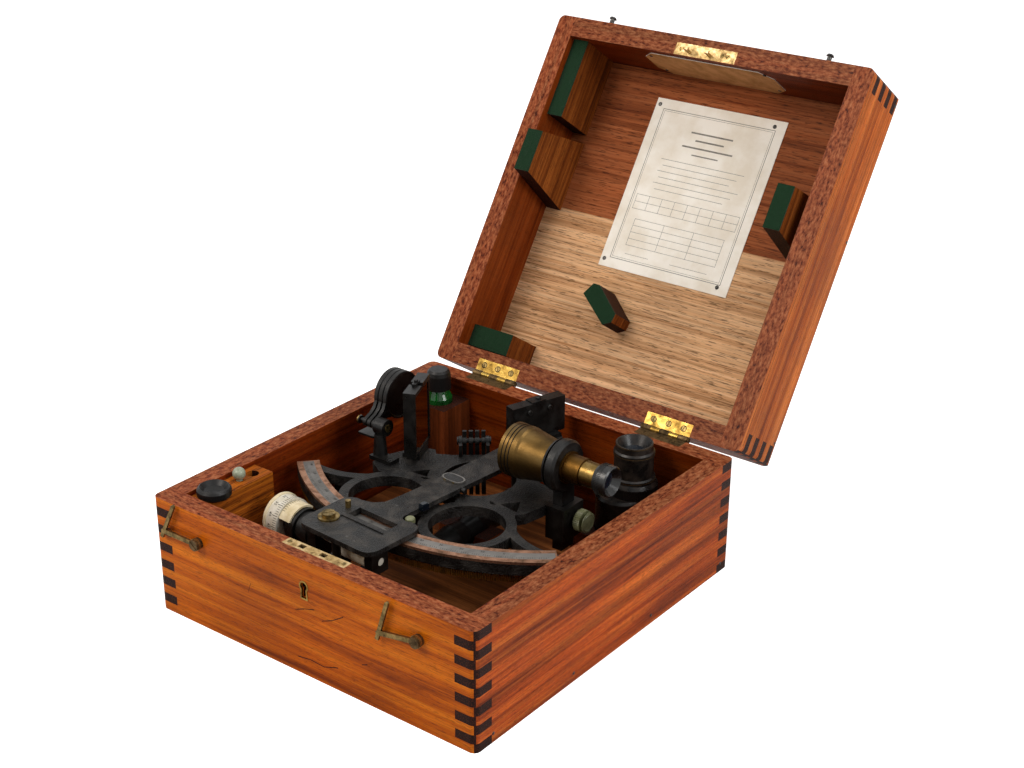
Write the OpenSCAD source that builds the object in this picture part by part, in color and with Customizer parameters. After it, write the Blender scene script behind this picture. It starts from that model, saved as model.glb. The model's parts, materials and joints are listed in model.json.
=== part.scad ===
// Mahogany sextant box, shown open, with its micrometer sextant and accessories in their places.
// Millimetres. The origin is the centre of the underside, +X to the right, +Y to the hinges, +Z up.

/* [Case] */
// Outside width of the case
case_w = 280; // [260:1:340]
// Outside depth of the case, front to back
case_d = 293; // [280:1:355]
// Height of the base, floor included
base_h = 87.3; // [80:0.1:105]
// Height of the lid
lid_h = 58; // [54:0.5:72]
// Thickness of the walls
wall_t = 16; // [13:0.5:19]
// Thickness of the base's floor
floor_t = 8; // [5:0.5:10]
// Thickness of the lid's top panel
panel_t = 8; // [5:0.5:10]
// Radius of the rounded upright corners
corner_r = 5; // [2:0.5:8]
// Radius of the rounded top edges of the lid
lid_edge_r = 6; // [2:0.5:7]
// Number of fingers at each corner of the base
base_fingers = 13; // [7:2:17]
// Number of fingers at each corner of the lid
lid_fingers = 9; // [5:2:13]
// Gap between the base's rim and the lid's rim when it is shut
lid_gap = 0.4; // [0.2:0.1:1]

/* [Hinges] */
// Angle by which the lid stands open
open_deg = 123.5; // [90:0.5:125]
// Distance of the hinge axis behind the back wall
hinge_back = 2.7; // [2.7:0.1:4]
// Length of a hinge
hinge_l = 39.5; // [30:0.5:50]
// Distance of each hinge's middle from the middle of the case
hinge_x = 79.3; // [60:0.1:95]
// Depth of a hinge leaf on the rim
leaf_d = 9.2; // [7:0.1:11]
// Thickness of a hinge leaf
leaf_t = 1.6; // [1:0.1:2]
// Radius of a hinge knuckle
knuckle_r = 2.5; // [2.2:0.1:2.6]
// Radius of a hinge pin
pin_r = 1.3; // [1:0.05:1.5]
// Radial clearance of a pin in its knuckles
pin_clear = 0.05; // [0.02:0.01:0.1]

/* [Hooks and lock] */
// Distance of each hook's pivot from the middle of the case
hook_x = 96.5; // [85:0.5:105]
// Length of a hook's arm, pivot to bend
hook_arm = 31; // [28:0.5:34]
// Length of a hook's bent end
hook_end = 24.5; // [18:0.5:28]
// Angle between a hook's arm and its bent end
hook_bend_deg = 63; // [55:1:75]
// Width of the lock's top plate
lock_w = 54; // [48:1:58]
// Depth of the lock case below the rim
lock_h = 36; // [34:1:38]

/* [Sextant] */
// Distance of the sextant's pivot in front of the back wall's inner face
pivot_back = 32.8; // [31:0.1:36]
// Outer radius of the arc
arc_r = 174.5; // [170:0.5:176]
// Width of the arc
arc_w = 16.1; // [14:0.1:18]
// Half of the angle that the arc spans
arc_half_deg = 42; // [38:0.5:42]
// Underside of the frame casting above the table
frame_z = 65; // [63:0.5:66]
// Thickness of the frame casting
frame_t = 8; // [6:0.5:8]
// Inner radius of the frame's three rings
ring_r = 26.5; // [24:0.5:27]
// Width of the frame's ribs
rib_w = 7; // [5:0.5:8]
// Spacing of the rack's teeth along the arc, in degrees
tooth_deg = 0.5; // [0.5:0.5:2]
// Angle of the index arm from straight forward
arm_deg = -3.6; // [-4:0.1:4]
// Thickness of the index arm's plate
arm_t = 3.6; // [2.5:0.1:4]
// Radius of the micrometer drum
drum_r = 16.5; // [13:0.5:16.5]
// Height of the telescope's axis above the table
scope_z = 101.5; // [101:0.5:104]
// Radius of the telescope's objective
objective_r = 19.2; // [18:0.1:20.5]

/* [Accessories] */
// Radius of the oil bottle
bottle_r = 10.4; // [8:0.1:11]
// Radius of the monocular's body
monocular_r = 19; // [16:0.5:21]
// Clearance of a lift-out piece in its socket
socket_clear = 0.4; // [0.2:0.1:0.8]

/* [Hidden] */
$fn = 48;

// Faces of the case
x_out = case_w / 2;
y_out = case_d / 2;
x_in = x_out - wall_t;
y_in = y_out - wall_t;
lid_z = base_h + lid_gap;
lid_top = lid_z + lid_h;
panel_z = lid_top - panel_t;

// Hinge axis
hinge_y = y_out + hinge_back;
hinge_z = base_h + lid_gap / 2;
hinge_xs = [-hinge_x, hinge_x];

// Pivot of the sextant, and heights of its parts
pivot_y = y_in - pivot_back;
frame_top = frame_z + frame_t;
arc_top = frame_top + 2;
arm_z = arc_top + 1;
arm_top = arm_z + arm_t;
arc_in = arc_r - arc_w;

// Colours
mahogany = "#a4491b";
mahogany_dark = "#5a2812";
veneer = "#b98a55";
brass = "#a98c4a";
brass_bright = "#d9b348";
crackle = "#2b2b2c";
copper = "#a87a62";
baize = "#17402a";
ivory = "#e8dcc0";
shade_glass = "#26302c";
paper = "#ece6d6";

// Solid of the whole case between two heights, with its upright corners rounded
module case_solid(z0, z1) {
    translate([0, 0, z0]) linear_extrude(z1 - z0) {
        square([case_w - 2 * corner_r, case_d], center = true);
        square([case_w, case_d - 2 * corner_r], center = true);
        for (sx = [-1, 1], sy = [-1, 1])
            translate([sx * (x_out - corner_r), sy * (y_out - corner_r)]) circle(corner_r);
    }
}

// Finger spaces at both ends of a wall: every second one, starting with the top one or the next
module finger_spaces(z0, h, n, first, along_x) {
    pitch = h / n;
    for (i = [first : 2 : n - 1]) for (s = [-1, 1]) {
        low = z0 + h - (i + 1) * pitch - (i == n - 1 ? 1 : 0);
        high = z0 + h - i * pitch + (i == 0 ? 1 : 0);
        if (along_x)
            translate([s > 0 ? x_in : -x_out - 1, -case_d, low])
                cube([wall_t + 1, case_d * 2, high - low]);
        else
            translate([-case_w, s > 0 ? y_in : -y_out - 1, low])
                cube([case_w * 2, wall_t + 1, high - low]);
    }
}

// One wall of the case. side is -1 for front or left, and 1 for back or right, and first is the
// highest finger that belongs to the neighbouring wall, counted from 0 at the top
module wall_x(side, z0, h, n, first) {
    difference() {
        intersection() {
            case_solid(z0, z0 + h);
            translate([-x_out, side > 0 ? y_in : -y_out, z0]) cube([case_w, wall_t, h]);
        }
        finger_spaces(z0, h, n, first, true);
    }
}

module wall_y(side, z0, h, n, first) {
    difference() {
        intersection() {
            case_solid(z0, z0 + h);
            translate([side > 0 ? x_in : -x_out, -y_out, z0]) cube([wall_t, case_d, h]);
        }
        finger_spaces(z0, h, n, first, false);
    }
}

// What rounding the lid's top edge takes away, along X or along Y
module edge_waste(length) {
    difference() {
        translate([-length / 2, 0, 0]) cube([length, lid_edge_r + 1, lid_edge_r + 1]);
        rotate([0, 90, 0]) cylinder(r = lid_edge_r, h = length + 2, center = true);
    }
}

module lid_edges() {
    for (a = [0, 180])
        rotate([0, 0, a]) translate([0, y_out - lid_edge_r, lid_top - lid_edge_r])
            edge_waste(case_w + 2);
    for (a = [90, 270])
        rotate([0, 0, a]) translate([0, x_out - lid_edge_r, lid_top - lid_edge_r])
            edge_waste(case_d + 2);
}

// Turns what is drawn shut to where the open lid holds it
module opened() {
    translate([0, hinge_y, hinge_z]) rotate([-open_deg, 0, 0]) translate([0, -hinge_y, -hinge_z])
        children();
}

// Places what is drawn about the sextant's pivot
module at_pivot(z = 0) {
    translate([0, pivot_y, z]) children();
}

// A flat ring sector, angles measured from straight forward, positive to the right
module ring_sector(r1, r2, a1, a2) {
    steps = ceil((a2 - a1) / 30);
    reach = r2 * 1.3;
    intersection() {
        difference() {
            circle(r2, $fn = 180);
            circle(r1, $fn = 180);
        }
        polygon(concat([[0, 0]],
            [for (i = [0 : steps]) let (a = a1 + (a2 - a1) * i / steps) reach * [sin(a), -cos(a)]]));
    }
}

// Screw head with its slot: a flat disc that stands a little proud
module screw_head(r, h, turn = 0) {
    difference() {
        cylinder(r = r, h = h);
        rotate([0, 0, turn]) translate([-r - 0.5, -0.4, h - 0.5]) cube([2 * r + 1, 0.8, 1]);
    }
}

// BASE

lock_x = 0.5;
lock_wall = 8.4;
lock_plate_t = 1.5;
lock_case_w = lock_w - 8;
key_z = base_h - 22.6;
slot_xs = [-12, 6.5];
slot_y = -y_out + (lock_wall + wall_t) / 2 + 0.2;

module lock_room(clear) {
    translate([lock_x - lock_w / 2 - clear, -y_out + lock_wall - clear, base_h - lock_plate_t - clear])
        cube([lock_w + 2 * clear, wall_t - lock_wall + 1, lock_plate_t + 1]);
    translate([lock_x - lock_case_w / 2 - clear, -y_out + lock_wall - clear, base_h - lock_h - clear])
        cube([lock_case_w + 2 * clear, wall_t - lock_wall + 1, lock_h + 1]);
}

module leaf_rooms(z, side) {
    for (x = hinge_xs)
        translate([x - hinge_l / 2, y_out - leaf_d, side < 0 ? z - leaf_t : z])
            cube([hinge_l, leaf_d + 1, leaf_t]);
}

module key_shape(grow) {
    translate([0, 3.2]) circle(2.3 + grow);
    polygon([[-1 - grow, 3], [-1.7 - grow, -5 - grow], [1.7 + grow, -5 - grow], [1 + grow, 3]]);
}

module on_front(z, y) {
    translate([0, -y_out + y, z]) rotate([90, 0, 0]) children();
}

module base_front() color(mahogany) difference() {
    wall_x(-1, 0, base_h, base_fingers, 1);
    lock_room(0);
    on_front(key_z, lock_wall + 1) linear_extrude(lock_wall + 2) key_shape(0);
    on_front(key_z, 1.2) linear_extrude(2) key_shape(1.6);
    for (s = [-1, 1]) translate([s * hook_x, -y_out - 1, hook_z]) rotate([-90, 0, 0])
        cylinder(r = hook_shank_r, h = hook_shank_l + 1);
}

module base_back() color(mahogany) difference() {
    wall_x(1, 0, base_h, base_fingers, 1);
    leaf_rooms(base_h, -1);
    for (x = hinge_xs) screw_spots(x) translate([0, 0, base_h - leaf_t - 9]) cylinder(r = 1.5, h = 10);
}

module base_left() color(mahogany) wall_y(-1, 0, base_h, base_fingers, 0);

module base_right() color(mahogany) wall_y(1, 0, base_h, base_fingers, 0);

module base_floor() color(mahogany_dark)
    translate([-x_in, -y_in, 0]) cube([2 * x_in, 2 * y_in, floor_t]);

lock_skin = 1.2;

module lock_case() color(brass) {
    lock_rails();
    lock_shell();
}

module lock_shell() difference() {
    union() {
        translate([lock_x - lock_w / 2, -y_out + lock_wall, base_h - lock_plate_t])
            cube([lock_w, wall_t - lock_wall, lock_plate_t]);
        translate([lock_x - lock_case_w / 2, -y_out + lock_wall, base_h - lock_h])
            cube([lock_case_w, wall_t - lock_wall, lock_h]);
    }
    translate([lock_x - lock_case_w / 2 + lock_skin, -y_out + lock_wall + lock_skin,
        base_h - lock_h + lock_skin])
        cube([lock_case_w - 2 * lock_skin, wall_t - lock_wall - 2 * lock_skin,
            lock_h - lock_plate_t - lock_skin]);
    for (x = slot_xs) translate([x - 2.6, slot_y - 2, base_h - lock_plate_t - 1]) cube([5.2, 4, 3]);
    on_front(key_z, lock_wall + 3) linear_extrude(4) key_shape(0);
}

// Rails inside the case that the bolt slides on
module lock_rails() {
    rail_w = lock_case_w / 2 - 8;
    for (s = [-1, 1]) translate([lock_x + s * (lock_case_w / 2 - rail_w / 2), slot_y, bolt_bar_z - 1.8])
        cube([rail_w, wall_t - lock_wall - lock_skin, 3], center = true);
}

// Staples on the lid, and the bolt that slides over their toes
staple_drop = 9;
staple_toe = 2;
toe_t = 1.6;
bolt_travel = 2.2;
bolt_t = 2.2;
bolt_bar_z = base_h - 17;
finger_z = base_h - staple_drop + toe_t + 0.4;

// Bolt bar with a hooked finger for each staple, and the tail that the key moves
module lock_bolt() color(brass_bright) translate([0, slot_y - bolt_t / 2, 0]) {
    translate([slot_xs[0] - 3, 0, bolt_bar_z]) cube([slot_xs[1] - slot_xs[0] + 9.4, bolt_t, 4]);
    for (x = slot_xs) {
        translate([x + 4.4, 0, bolt_bar_z]) cube([2, bolt_t, finger_z + 3 - bolt_bar_z]);
        translate([x + 2.3, 0, finger_z]) cube([4.1, bolt_t, 3]);
    }
    translate([-1.5, 0, bolt_bar_z - 4]) cube([3, bolt_t, 5]);
}

module escutcheon() color(brass_bright)
    on_front(key_z, 1.2) linear_extrude(1.6) difference() {
        key_shape(1.6);
        key_shape(0.5);
    }

// Three screw places on the leaf at x
module screw_spots(x) {
    for (i = [-1, 0, 1]) translate([x + i * hinge_l * 0.33, y_out - leaf_d * 0.52, 0]) children();
}

knuckles = 5;
knuckle_gap = 0.3;

// Knuckles numbered first, first + 2, ... along a hinge
module knuckle_row(first) {
    pitch = hinge_l / knuckles;
    for (x = hinge_xs) for (i = [first : 2 : knuckles - 1])
        translate([x - hinge_l / 2 + i * pitch + (i > 0 ? knuckle_gap / 2 : 0), hinge_y, hinge_z])
            rotate([0, 90, 0]) difference() {
                cylinder(r = knuckle_r,
                    h = pitch - (i > 0 ? knuckle_gap / 2 : 0) - (i < knuckles - 1 ? knuckle_gap / 2 : 0));
                translate([0, 0, -1]) cylinder(r = pin_r + pin_clear, h = pitch + 2);
            }
}

// Tongues that join the leaf's edge to its knuckles. dz is the leaf's lowest height
module leaf_tongues(first, z) {
    pitch = hinge_l / knuckles;
    for (x = hinge_xs) for (i = [first : 2 : knuckles - 1])
        translate([x - hinge_l / 2 + i * pitch + (i > 0 ? knuckle_gap / 2 : 0), y_out - 0.5, z])
            cube([pitch - (i > 0 ? knuckle_gap / 2 : 0) - (i < knuckles - 1 ? knuckle_gap / 2 : 0),
                hinge_back + 0.5, leaf_t]);
}

module pin_space() {
    for (x = hinge_xs) translate([x, hinge_y, hinge_z]) rotate([0, 90, 0])
        cylinder(r = pin_r + pin_clear, h = hinge_l + 2, center = true);
}

module base_hinge_leaves() color(brass) difference() {
    union() {
        for (x = hinge_xs) translate([x - hinge_l / 2, y_out - leaf_d, base_h - leaf_t])
            cube([hinge_l, leaf_d, leaf_t]);
        leaf_tongues(0, base_h - leaf_t);
        knuckle_row(0);
    }
    pin_space();
    for (x = hinge_xs) screw_spots(x) translate([0, 0, base_h - leaf_t - 1]) cylinder(r = 2.2, h = 4);
}

module hinge_pins() color(brass)
    for (x = hinge_xs) translate([x, hinge_y, hinge_z]) rotate([0, 90, 0]) {
        cylinder(r = pin_r, h = hinge_l + 1, center = true);
        for (s = [-1, 1]) translate([0, 0, s * (hinge_l / 2 + 0.4)]) cylinder(r = 2, h = 0.8, center = true);
    }

hook_z = base_h - 21.3;
hook_shank_r = 2;
hook_shank_l = 11;
hook_off = 2.1;
hook_t = 1.8;
hook_w = 3.4;

// Hinge screws, and the two screws that the hooks turn on, each with its washer and collar
module base_screws() color(brass) {
    for (x = hinge_xs) screw_spots(x) {
        translate([0, 0, base_h - leaf_t]) screw_head(2.2, leaf_t + 0.15, x + 20);
        translate([0, 0, base_h - leaf_t - 9]) cylinder(r = 1.5, h = 9.2);
    }
    for (s = [-1, 1]) translate([s * hook_x, -y_out, hook_z]) rotate([90, 0, 0]) {
        translate([0, 0, -hook_shank_l]) cylinder(r = hook_shank_r, h = hook_shank_l + hook_off + hook_t + 1);
        cylinder(r = 4, h = hook_off - 0.15);
        translate([0, 0, hook_off + hook_t + 0.15]) screw_head(4, 1.4, 40 * s);
    }
}

// A hook in its latched position: arm straight up from the pivot, bent end down to the right
module hook_shape() {
    difference() {
        union() {
            circle(4.3);
            translate([-hook_w / 2, 0]) square([hook_w, hook_arm]);
            translate([0, hook_arm]) rotate(hook_bend_deg - 90) {
                circle(hook_w / 2);
                translate([-hook_nub, -hook_w / 2]) square([hook_nub + hook_end, hook_w * 0.8]);
                translate([hook_end, -hook_w * 0.1]) circle(hook_w * 0.4);
            }
        }
        circle(hook_shank_r + 0.06);
    }
}

hook_nub = 5.5;
hook_tilt = [0, 9.6];

// The hook at its place on the front wall, swung down to the left as it lies at rest
module hook(i) {
    translate([(i * 2 - 1) * hook_x, -y_out - hook_off, hook_z]) rotate([90, 0, 0])
        rotate(90 + hook_tilt[i]) linear_extrude(hook_t) hook_shape();
}

module hook_left() color(brass) hook(0);

module hook_right() color(brass) hook(1);

// BLOCKS IN THE BASE

pocket_w = 18;
pocket_d = 64;
pocket_top = base_h - 3.3;
pocket_hole = [8.9, 53.5];
key_spot = [8.7, 41];
eyepiece_spot = [12.5, 14];
key_stem_r = 2.2;
eyepiece_stem_r = 4.1;

module on_pocket(spot, z) {
    translate([-x_in + spot[0], -y_in + spot[1], z]) children();
}

module pocket_block() color(mahogany) difference() {
    translate([-x_in, -y_in, floor_t]) cube([pocket_w, pocket_d, pocket_top - floor_t]);
    on_pocket(pocket_hole, pocket_top - 30) cylinder(r = 4.5, h = 31);
    on_pocket(key_spot, pocket_top - 30) cylinder(r = key_stem_r + socket_clear, h = 31);
    on_pocket(eyepiece_spot, pocket_top - 34) cylinder(r = eyepiece_stem_r + socket_clear, h = 35);
}

bottle_spot = [-x_in + 17.5, y_in - 16];
bottle_block_top = base_h - 13.6;
bottle_z = 24;

module bottle_block() color(mahogany) difference() {
    translate([-x_in, y_in - 31, floor_t]) cube([34.8, 31, bottle_block_top - floor_t]);
    translate([bottle_spot[0], bottle_spot[1], bottle_z])
        cylinder(r = bottle_r + socket_clear, h = base_h);
}

mono_spot = [x_in - 48.5, y_in - 29.5];
mono_z = floor_t + 4;
mono_half = monocular_r + 7;
mono_socket_top = 30;

module monocular_socket() color(mahogany) difference() {
    translate([mono_spot[0] - mono_half, mono_spot[1] - mono_half, floor_t])
        cube([x_in - mono_spot[0] + mono_half, y_in - mono_spot[1] + mono_half, mono_socket_top - floor_t]);
    translate([mono_spot[0], mono_spot[1], mono_z])
        cylinder(r = monocular_r + socket_clear, h = base_h);
}

handle_z = 38;
handle_r = 10.5;
cradle_v = -75;
leg_spots = [[-84, -121.6], [84, -121.6]];
leg_z = 24;
rest_gap = 0.3;

// Cradle under the sextant's handle, a rest under each leg, and a rest at the front wall
module rest_blocks() color(mahogany_dark) {
    at_pivot() difference() {
        translate([-22, cradle_v - 10, floor_t]) cube([44, 20, handle_z - floor_t]);
        translate([0, cradle_v - 11, handle_z]) rotate([-90, 0, 0]) cylinder(r = handle_r + rest_gap, h = 22);
    }
    at_pivot() for (p = leg_spots)
        translate([p[0] - 8, p[1] - 8, floor_t]) cube([16, 16, leg_z - rest_gap - floor_t]);
    translate([-21, -y_in, floor_t]) cube([11.4, 66.6, 40.8 - floor_t]);
}

// LID, drawn shut and turned open about the hinges

stud_r = 1.8;
stud_reach = (stud_r + hook_w / 2 + 0.3) / sin(hook_bend_deg / 2);
stud_dx = stud_reach * sin(hook_bend_deg / 2);
stud_z = hook_z + hook_arm - stud_reach * cos(hook_bend_deg / 2);

module on_studs() {
    for (s = [-1, 1]) translate([s * hook_x + stud_dx, -y_out, stud_z]) rotate([90, 0, 0]) children();
}

catch_t = 1.5;
catch_y = -y_out + 5.9;
catch_d = wall_t - 6.4;

module lid_front() color(mahogany) opened() difference() {
    wall_x(-1, lid_z, lid_h, lid_fingers, 0);
    lid_edges();
    translate([lock_x - lock_w / 2, catch_y, lid_z - 1]) cube([lock_w, catch_d, catch_t + 1]);
    on_studs() translate([0, 0, -8]) cylinder(r = stud_r, h = 9);
}

module lid_back() color(mahogany) opened() difference() {
    wall_x(1, lid_z, lid_h, lid_fingers, 0);
    lid_edges();
    leaf_rooms(lid_z, 1);
    for (x = hinge_xs) screw_spots(x) translate([0, 0, lid_z + leaf_t - 1]) cylinder(r = 1.5, h = 10);
}

module lid_left() color(mahogany) opened() difference() {
    wall_y(-1, lid_z, lid_h, lid_fingers, 1);
    lid_edges();
}

module lid_right() color(mahogany) opened() difference() {
    wall_y(1, lid_z, lid_h, lid_fingers, 1);
    lid_edges();
}

module lid_panel() color(veneer) opened()
    translate([-x_in, -y_in, panel_z]) cube([2 * x_in, 2 * y_in, panel_t]);

module lid_hinge_leaves() color(brass_bright) opened() difference() {
    union() {
        for (x = hinge_xs) translate([x - hinge_l / 2, y_out - leaf_d, lid_z])
            cube([hinge_l, leaf_d, leaf_t]);
        leaf_tongues(1, lid_z);
        knuckle_row(1);
    }
    pin_space();
    for (x = hinge_xs) screw_spots(x) translate([0, 0, lid_z - 1]) cylinder(r = 2.2, h = 4);
}

catch_screws = [-22, -17, 15, 20];

// Screws of the lid's leaves and of the catch plate, heads towards the rim
module lid_screws() color(brass) opened() {
    for (x = hinge_xs) screw_spots(x) {
        translate([0, 0, lid_z + leaf_t]) rotate([180, 0, 0]) screw_head(2.2, leaf_t + 0.1, x);
        translate([0, 0, lid_z + leaf_t - 0.2]) cylinder(r = 1.5, h = 9.2);
    }
    for (x = catch_screws) translate([lock_x + x, catch_y + catch_d / 2, lid_z + catch_t]) rotate([180, 0, 0])
        screw_head(1.8, catch_t + 0.1, 3 * x);
}

module catch_plate() color(brass) opened() {
    difference() {
        translate([lock_x - lock_w / 2, catch_y, lid_z]) cube([lock_w, catch_d, catch_t]);
        for (x = catch_screws) translate([lock_x + x, catch_y + catch_d / 2, lid_z - 1])
            cylinder(r = 1.8, h = 4);
    }
    for (x = slot_xs) {
        translate([x - 2.1, slot_y - 1, base_h - staple_drop]) cube([2, 2, lid_z - base_h + staple_drop]);
        translate([x - 2.1, slot_y - 1, base_h - staple_drop]) cube([2 + staple_toe, 2, toe_t]);
    }
}

module hook_studs() color(brass) opened() on_studs() {
    translate([0, 0, -8]) cylinder(r = stud_r, h = 8 + hook_off + hook_t + 0.4);
    translate([0, 0, hook_off + hook_t + 0.4]) cylinder(r1 = 3.1, r2 = 2.1, h = 1.4);
}

baize_t = 1.2;
// Heights of the pads' faces above the table when the lid is shut
face_a = base_h + 6.7;
face_limb = arc_top + 1;
face_d = base_h + 13.4;
face_e = 111.8;
pad_limb_v = -128;
pad_limb_w = 34;
limb_end = arc_r * sin(arc_half_deg);
limb_pad_x = [-limb_end - 6.24, limb_end - 13.76];

// A pad whose two ends spread towards the panel, drawn along Y
module spread_pad(x0, w, y0, l, face, grow0, grow1) {
    translate([x0 + w, 0, 0]) rotate([0, -90, 0]) linear_extrude(w)
        polygon([[face + baize_t, y0], [panel_z, y0 - grow0], [panel_z, y0 + l + grow1], [face + baize_t, y0 + l]]);
}

module mirror_pad_plan() {
    polygon([[-38.7, -44.7], [-33, -44.6], [-10.8, -26.2], [-12, -19], [-18.7, -15.4], [-44.6, -35]]);
}

module pad_blocks() color(mahogany) opened() {
    translate([-x_in, -y_in, face_a + baize_t]) cube([13.6, 64, panel_z - face_a - baize_t]);
    spread_pad(limb_pad_x[0], 13.6, pivot_y + pad_limb_v - pad_limb_w / 2, pad_limb_w, face_limb, 12, 12);
    spread_pad(limb_pad_x[1], 13.6, pivot_y + pad_limb_v - pad_limb_w / 2, pad_limb_w, face_limb, 4, 10);
    translate([-x_in, y_in - 19.1, face_d + baize_t]) cube([38, 17.3, panel_z - face_d - baize_t]);
    at_pivot(face_e + baize_t) linear_extrude(panel_z - face_e - baize_t) mirror_pad_plan();
}

module baize_pads() color(baize) opened() {
    translate([-x_in, -y_in, face_a]) cube([13.6, 64, baize_t]);
    for (x = limb_pad_x) translate([x, pivot_y + pad_limb_v - pad_limb_w / 2, face_limb])
        cube([13.6, pad_limb_w, baize_t]);
    translate([-x_in, y_in - 19.1, face_d]) cube([38, 17.3, baize_t]);
    at_pivot(face_e) linear_extrude(baize_t) mirror_pad_plan();
}

sheet_t = 0.5;
certificate_size = [118.5, 143];

// Certificate form on the panel, and a card with cut corners behind the lid's front wall
module lid_papers() color(paper) opened() {
    translate([-57, -y_in + 21, panel_z - sheet_t]) cube([certificate_size[0], certificate_size[1], sheet_t]);
    translate([0, -y_in + sheet_t, 0]) rotate([90, 0, 0]) linear_extrude(sheet_t)
        polygon([[-50, panel_z - 44], [46, panel_z - 44], [56, panel_z - 34],
            [56, panel_z - 12], [46, panel_z - 2.5], [-50, panel_z - 2.5], [-60, panel_z - 12], [-60, panel_z - 34]]);
}

// SEXTANT

ring_out = ring_r + rib_w;
ring_deg = 16.274;
ring_reach = arc_in + 4.276 - ring_out;
ring_spots = [[-ring_reach * sin(ring_deg), -ring_reach * cos(ring_deg)],
    [ring_reach * sin(ring_deg), -ring_reach * cos(ring_deg)], [0, -66]];
axle_r = 4;
axle_clear = 0.05;
hub_r = 16;
horn_c = [97.5, -70];
horn_r = 50;
shelf_x = 61;

// Web between the pivot and the third ring, and the two shelves beside it
module frame_webs() {
    polygon([[-14, -6], [-10, -25.5], [-38, -49], [-49, -55], [-54, -50], [-65, -54], [-72, -68], [-77, -80],
        [-77, -93], [-64, -101], [-52, -100], [-30, -88], [30, -88], [50, -98], [58, -88], [shelf_x, -72],
        [shelf_x, -47], [37, -45], [14, -8]]);
    for (s = [-1, 1]) translate([s * 18.1, -96]) circle(12);
    translate([0, -124]) circle(11);
}

module frame_plan() {
    difference() {
        union() {
            circle(hub_r);
            for (p = ring_spots) translate(p) circle(ring_out);
            frame_webs();
            for (s = [0, 1]) mirror([s, 0]) translate(horn_c) intersection() {
                difference() {
                    circle(horn_r + rib_w, $fn = 96);
                    circle(horn_r, $fn = 96);
                }
                polygon([[0, 0], [-80, -18], [-60, -80], [12, -80], [12, -40]]);
            }
        }
        for (p = ring_spots) translate(p) circle(ring_r);
        polygon([[-20, -48], [-5, -27], [7, -27], [23, -49]]);
        polygon([[-45, -88], [-36, -77], [-31, -87]]);
        polygon([[35.5, -87.5], [44.5, -76], [52, -89.5]]);
    }
    ring_sector(arc_in, arc_r, -arc_half_deg, arc_half_deg);
}

module sextant_frame() color(crackle) at_pivot() {
    translate([0, 0, frame_z]) linear_extrude(frame_t) frame_plan();
    translate([0, 0, frame_top - 1]) cylinder(r = hub_r - 3, h = arm_z - frame_top + 0.8);
    translate([0, 0, frame_top]) cylinder(r = axle_r, h = arm_top - frame_top - 0.4);
    translate([0, 0, frame_z - 12]) cylinder(r = 9, h = 13);
}

module arc_scale() color(copper) at_pivot(frame_top)
    linear_extrude(arc_top - frame_top) ring_sector(arc_in, arc_r, -arc_half_deg, arc_half_deg);

rack_r = arc_r - 1;
rack_t = 6;
tooth_h = 0.9;

// Worm rack below the arc: one tooth for every half degree of swing
module rack_plan() {
    teeth = floor(2 * arc_half_deg / tooth_deg);
    start = -teeth * tooth_deg / 2;
    outer = [for (i = [0 : teeth - 1]) let (a = start + i * tooth_deg) each [
        (rack_r - tooth_h) * [sin(a), -cos(a)],
        rack_r * [sin(a + tooth_deg * 0.5), -cos(a + tooth_deg * 0.5)]
    ]];
    inner = [for (i = [0 : 24]) let (a = -start - i * 2 * -start / 24) (arc_in + 4) * [sin(a), -cos(a)]];
    last = (rack_r - tooth_h) * [sin(-start), -cos(-start)];
    polygon(concat(outer, [last], inner));
}

module rack_arc() color(brass) at_pivot(frame_z - rack_t) linear_extrude(rack_t) rack_plan();

grip_l = 104;
grip_v = -126;
post_vs = [-122, -24];

// Grip behind the frame, with finger grooves turned in it
module handle_grip() color("#1c1a19") at_pivot(handle_z) translate([0, grip_v, 0]) rotate([-90, 0, 0])
    difference() {
        rotate_extrude() polygon(concat([[0, 0], [handle_r - 3, 0]],
            [for (i = [0 : 16]) [handle_r - 1.6 * pow(sin(i * 180 / 4), 2) - 0.3, 3 + i * (grip_l - 6) / 16]],
            [[handle_r - 3, grip_l], [0, grip_l]]));
        for (v = post_vs) translate([0, 0, v - grip_v]) rotate([90, 0, 0]) cylinder(r = 3, h = 30);
    }

// Two posts that carry the grip, and the legs that the sextant stands on
module frame_legs() color(crackle) at_pivot() {
    for (v = post_vs) translate([0, v, handle_z]) cylinder(r = 3, h = frame_z - handle_z);
    for (p = leg_spots) translate([p[0], p[1], leg_z]) {
        cylinder(r = 5, h = 4);
        cylinder(r = 3.2, h = frame_z - leg_z);
    }
}

horizon_spot = [-60.1, -62.9];
horizon_deg = 23.5;
horizon_w = 35;
horizon_h = 49;
horizon_z = frame_top + 5;
mirror_t = 2.4;

module at_horizon(z) {
    at_pivot(z) translate(horizon_spot) rotate(horizon_deg) children();
}

// Frame of a mirror: a plate with a lip round a recess on its +X face, standing on a foot
module mirror_frame(w, h, t, lip) {
    difference() {
        translate([-t / 2, -w / 2, 0]) cube([t, w, h]);
        translate([t / 2 - mirror_t - 0.6, -w / 2 + lip, lip]) cube([mirror_t + 2, w - 2 * lip, h - 2 * lip]);
    }
}

module horizon_mirror_frame() color(crackle) {
    at_horizon(horizon_z) mirror_frame(horizon_w, horizon_h, 9, 2);
    at_horizon(frame_top) translate([-5, -11, 0]) cube([10, 22, horizon_z - frame_top]);
    at_horizon(frame_top) translate([-9, -8, 0]) cube([4, 16, 3]);
}

module horizon_mirror() color("#8d8f8c") at_horizon(horizon_z)
    translate([4.5 - mirror_t - 0.6, -horizon_w / 2 + 2, 2]) cube([mirror_t, horizon_w - 4, horizon_h - 4]);

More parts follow.
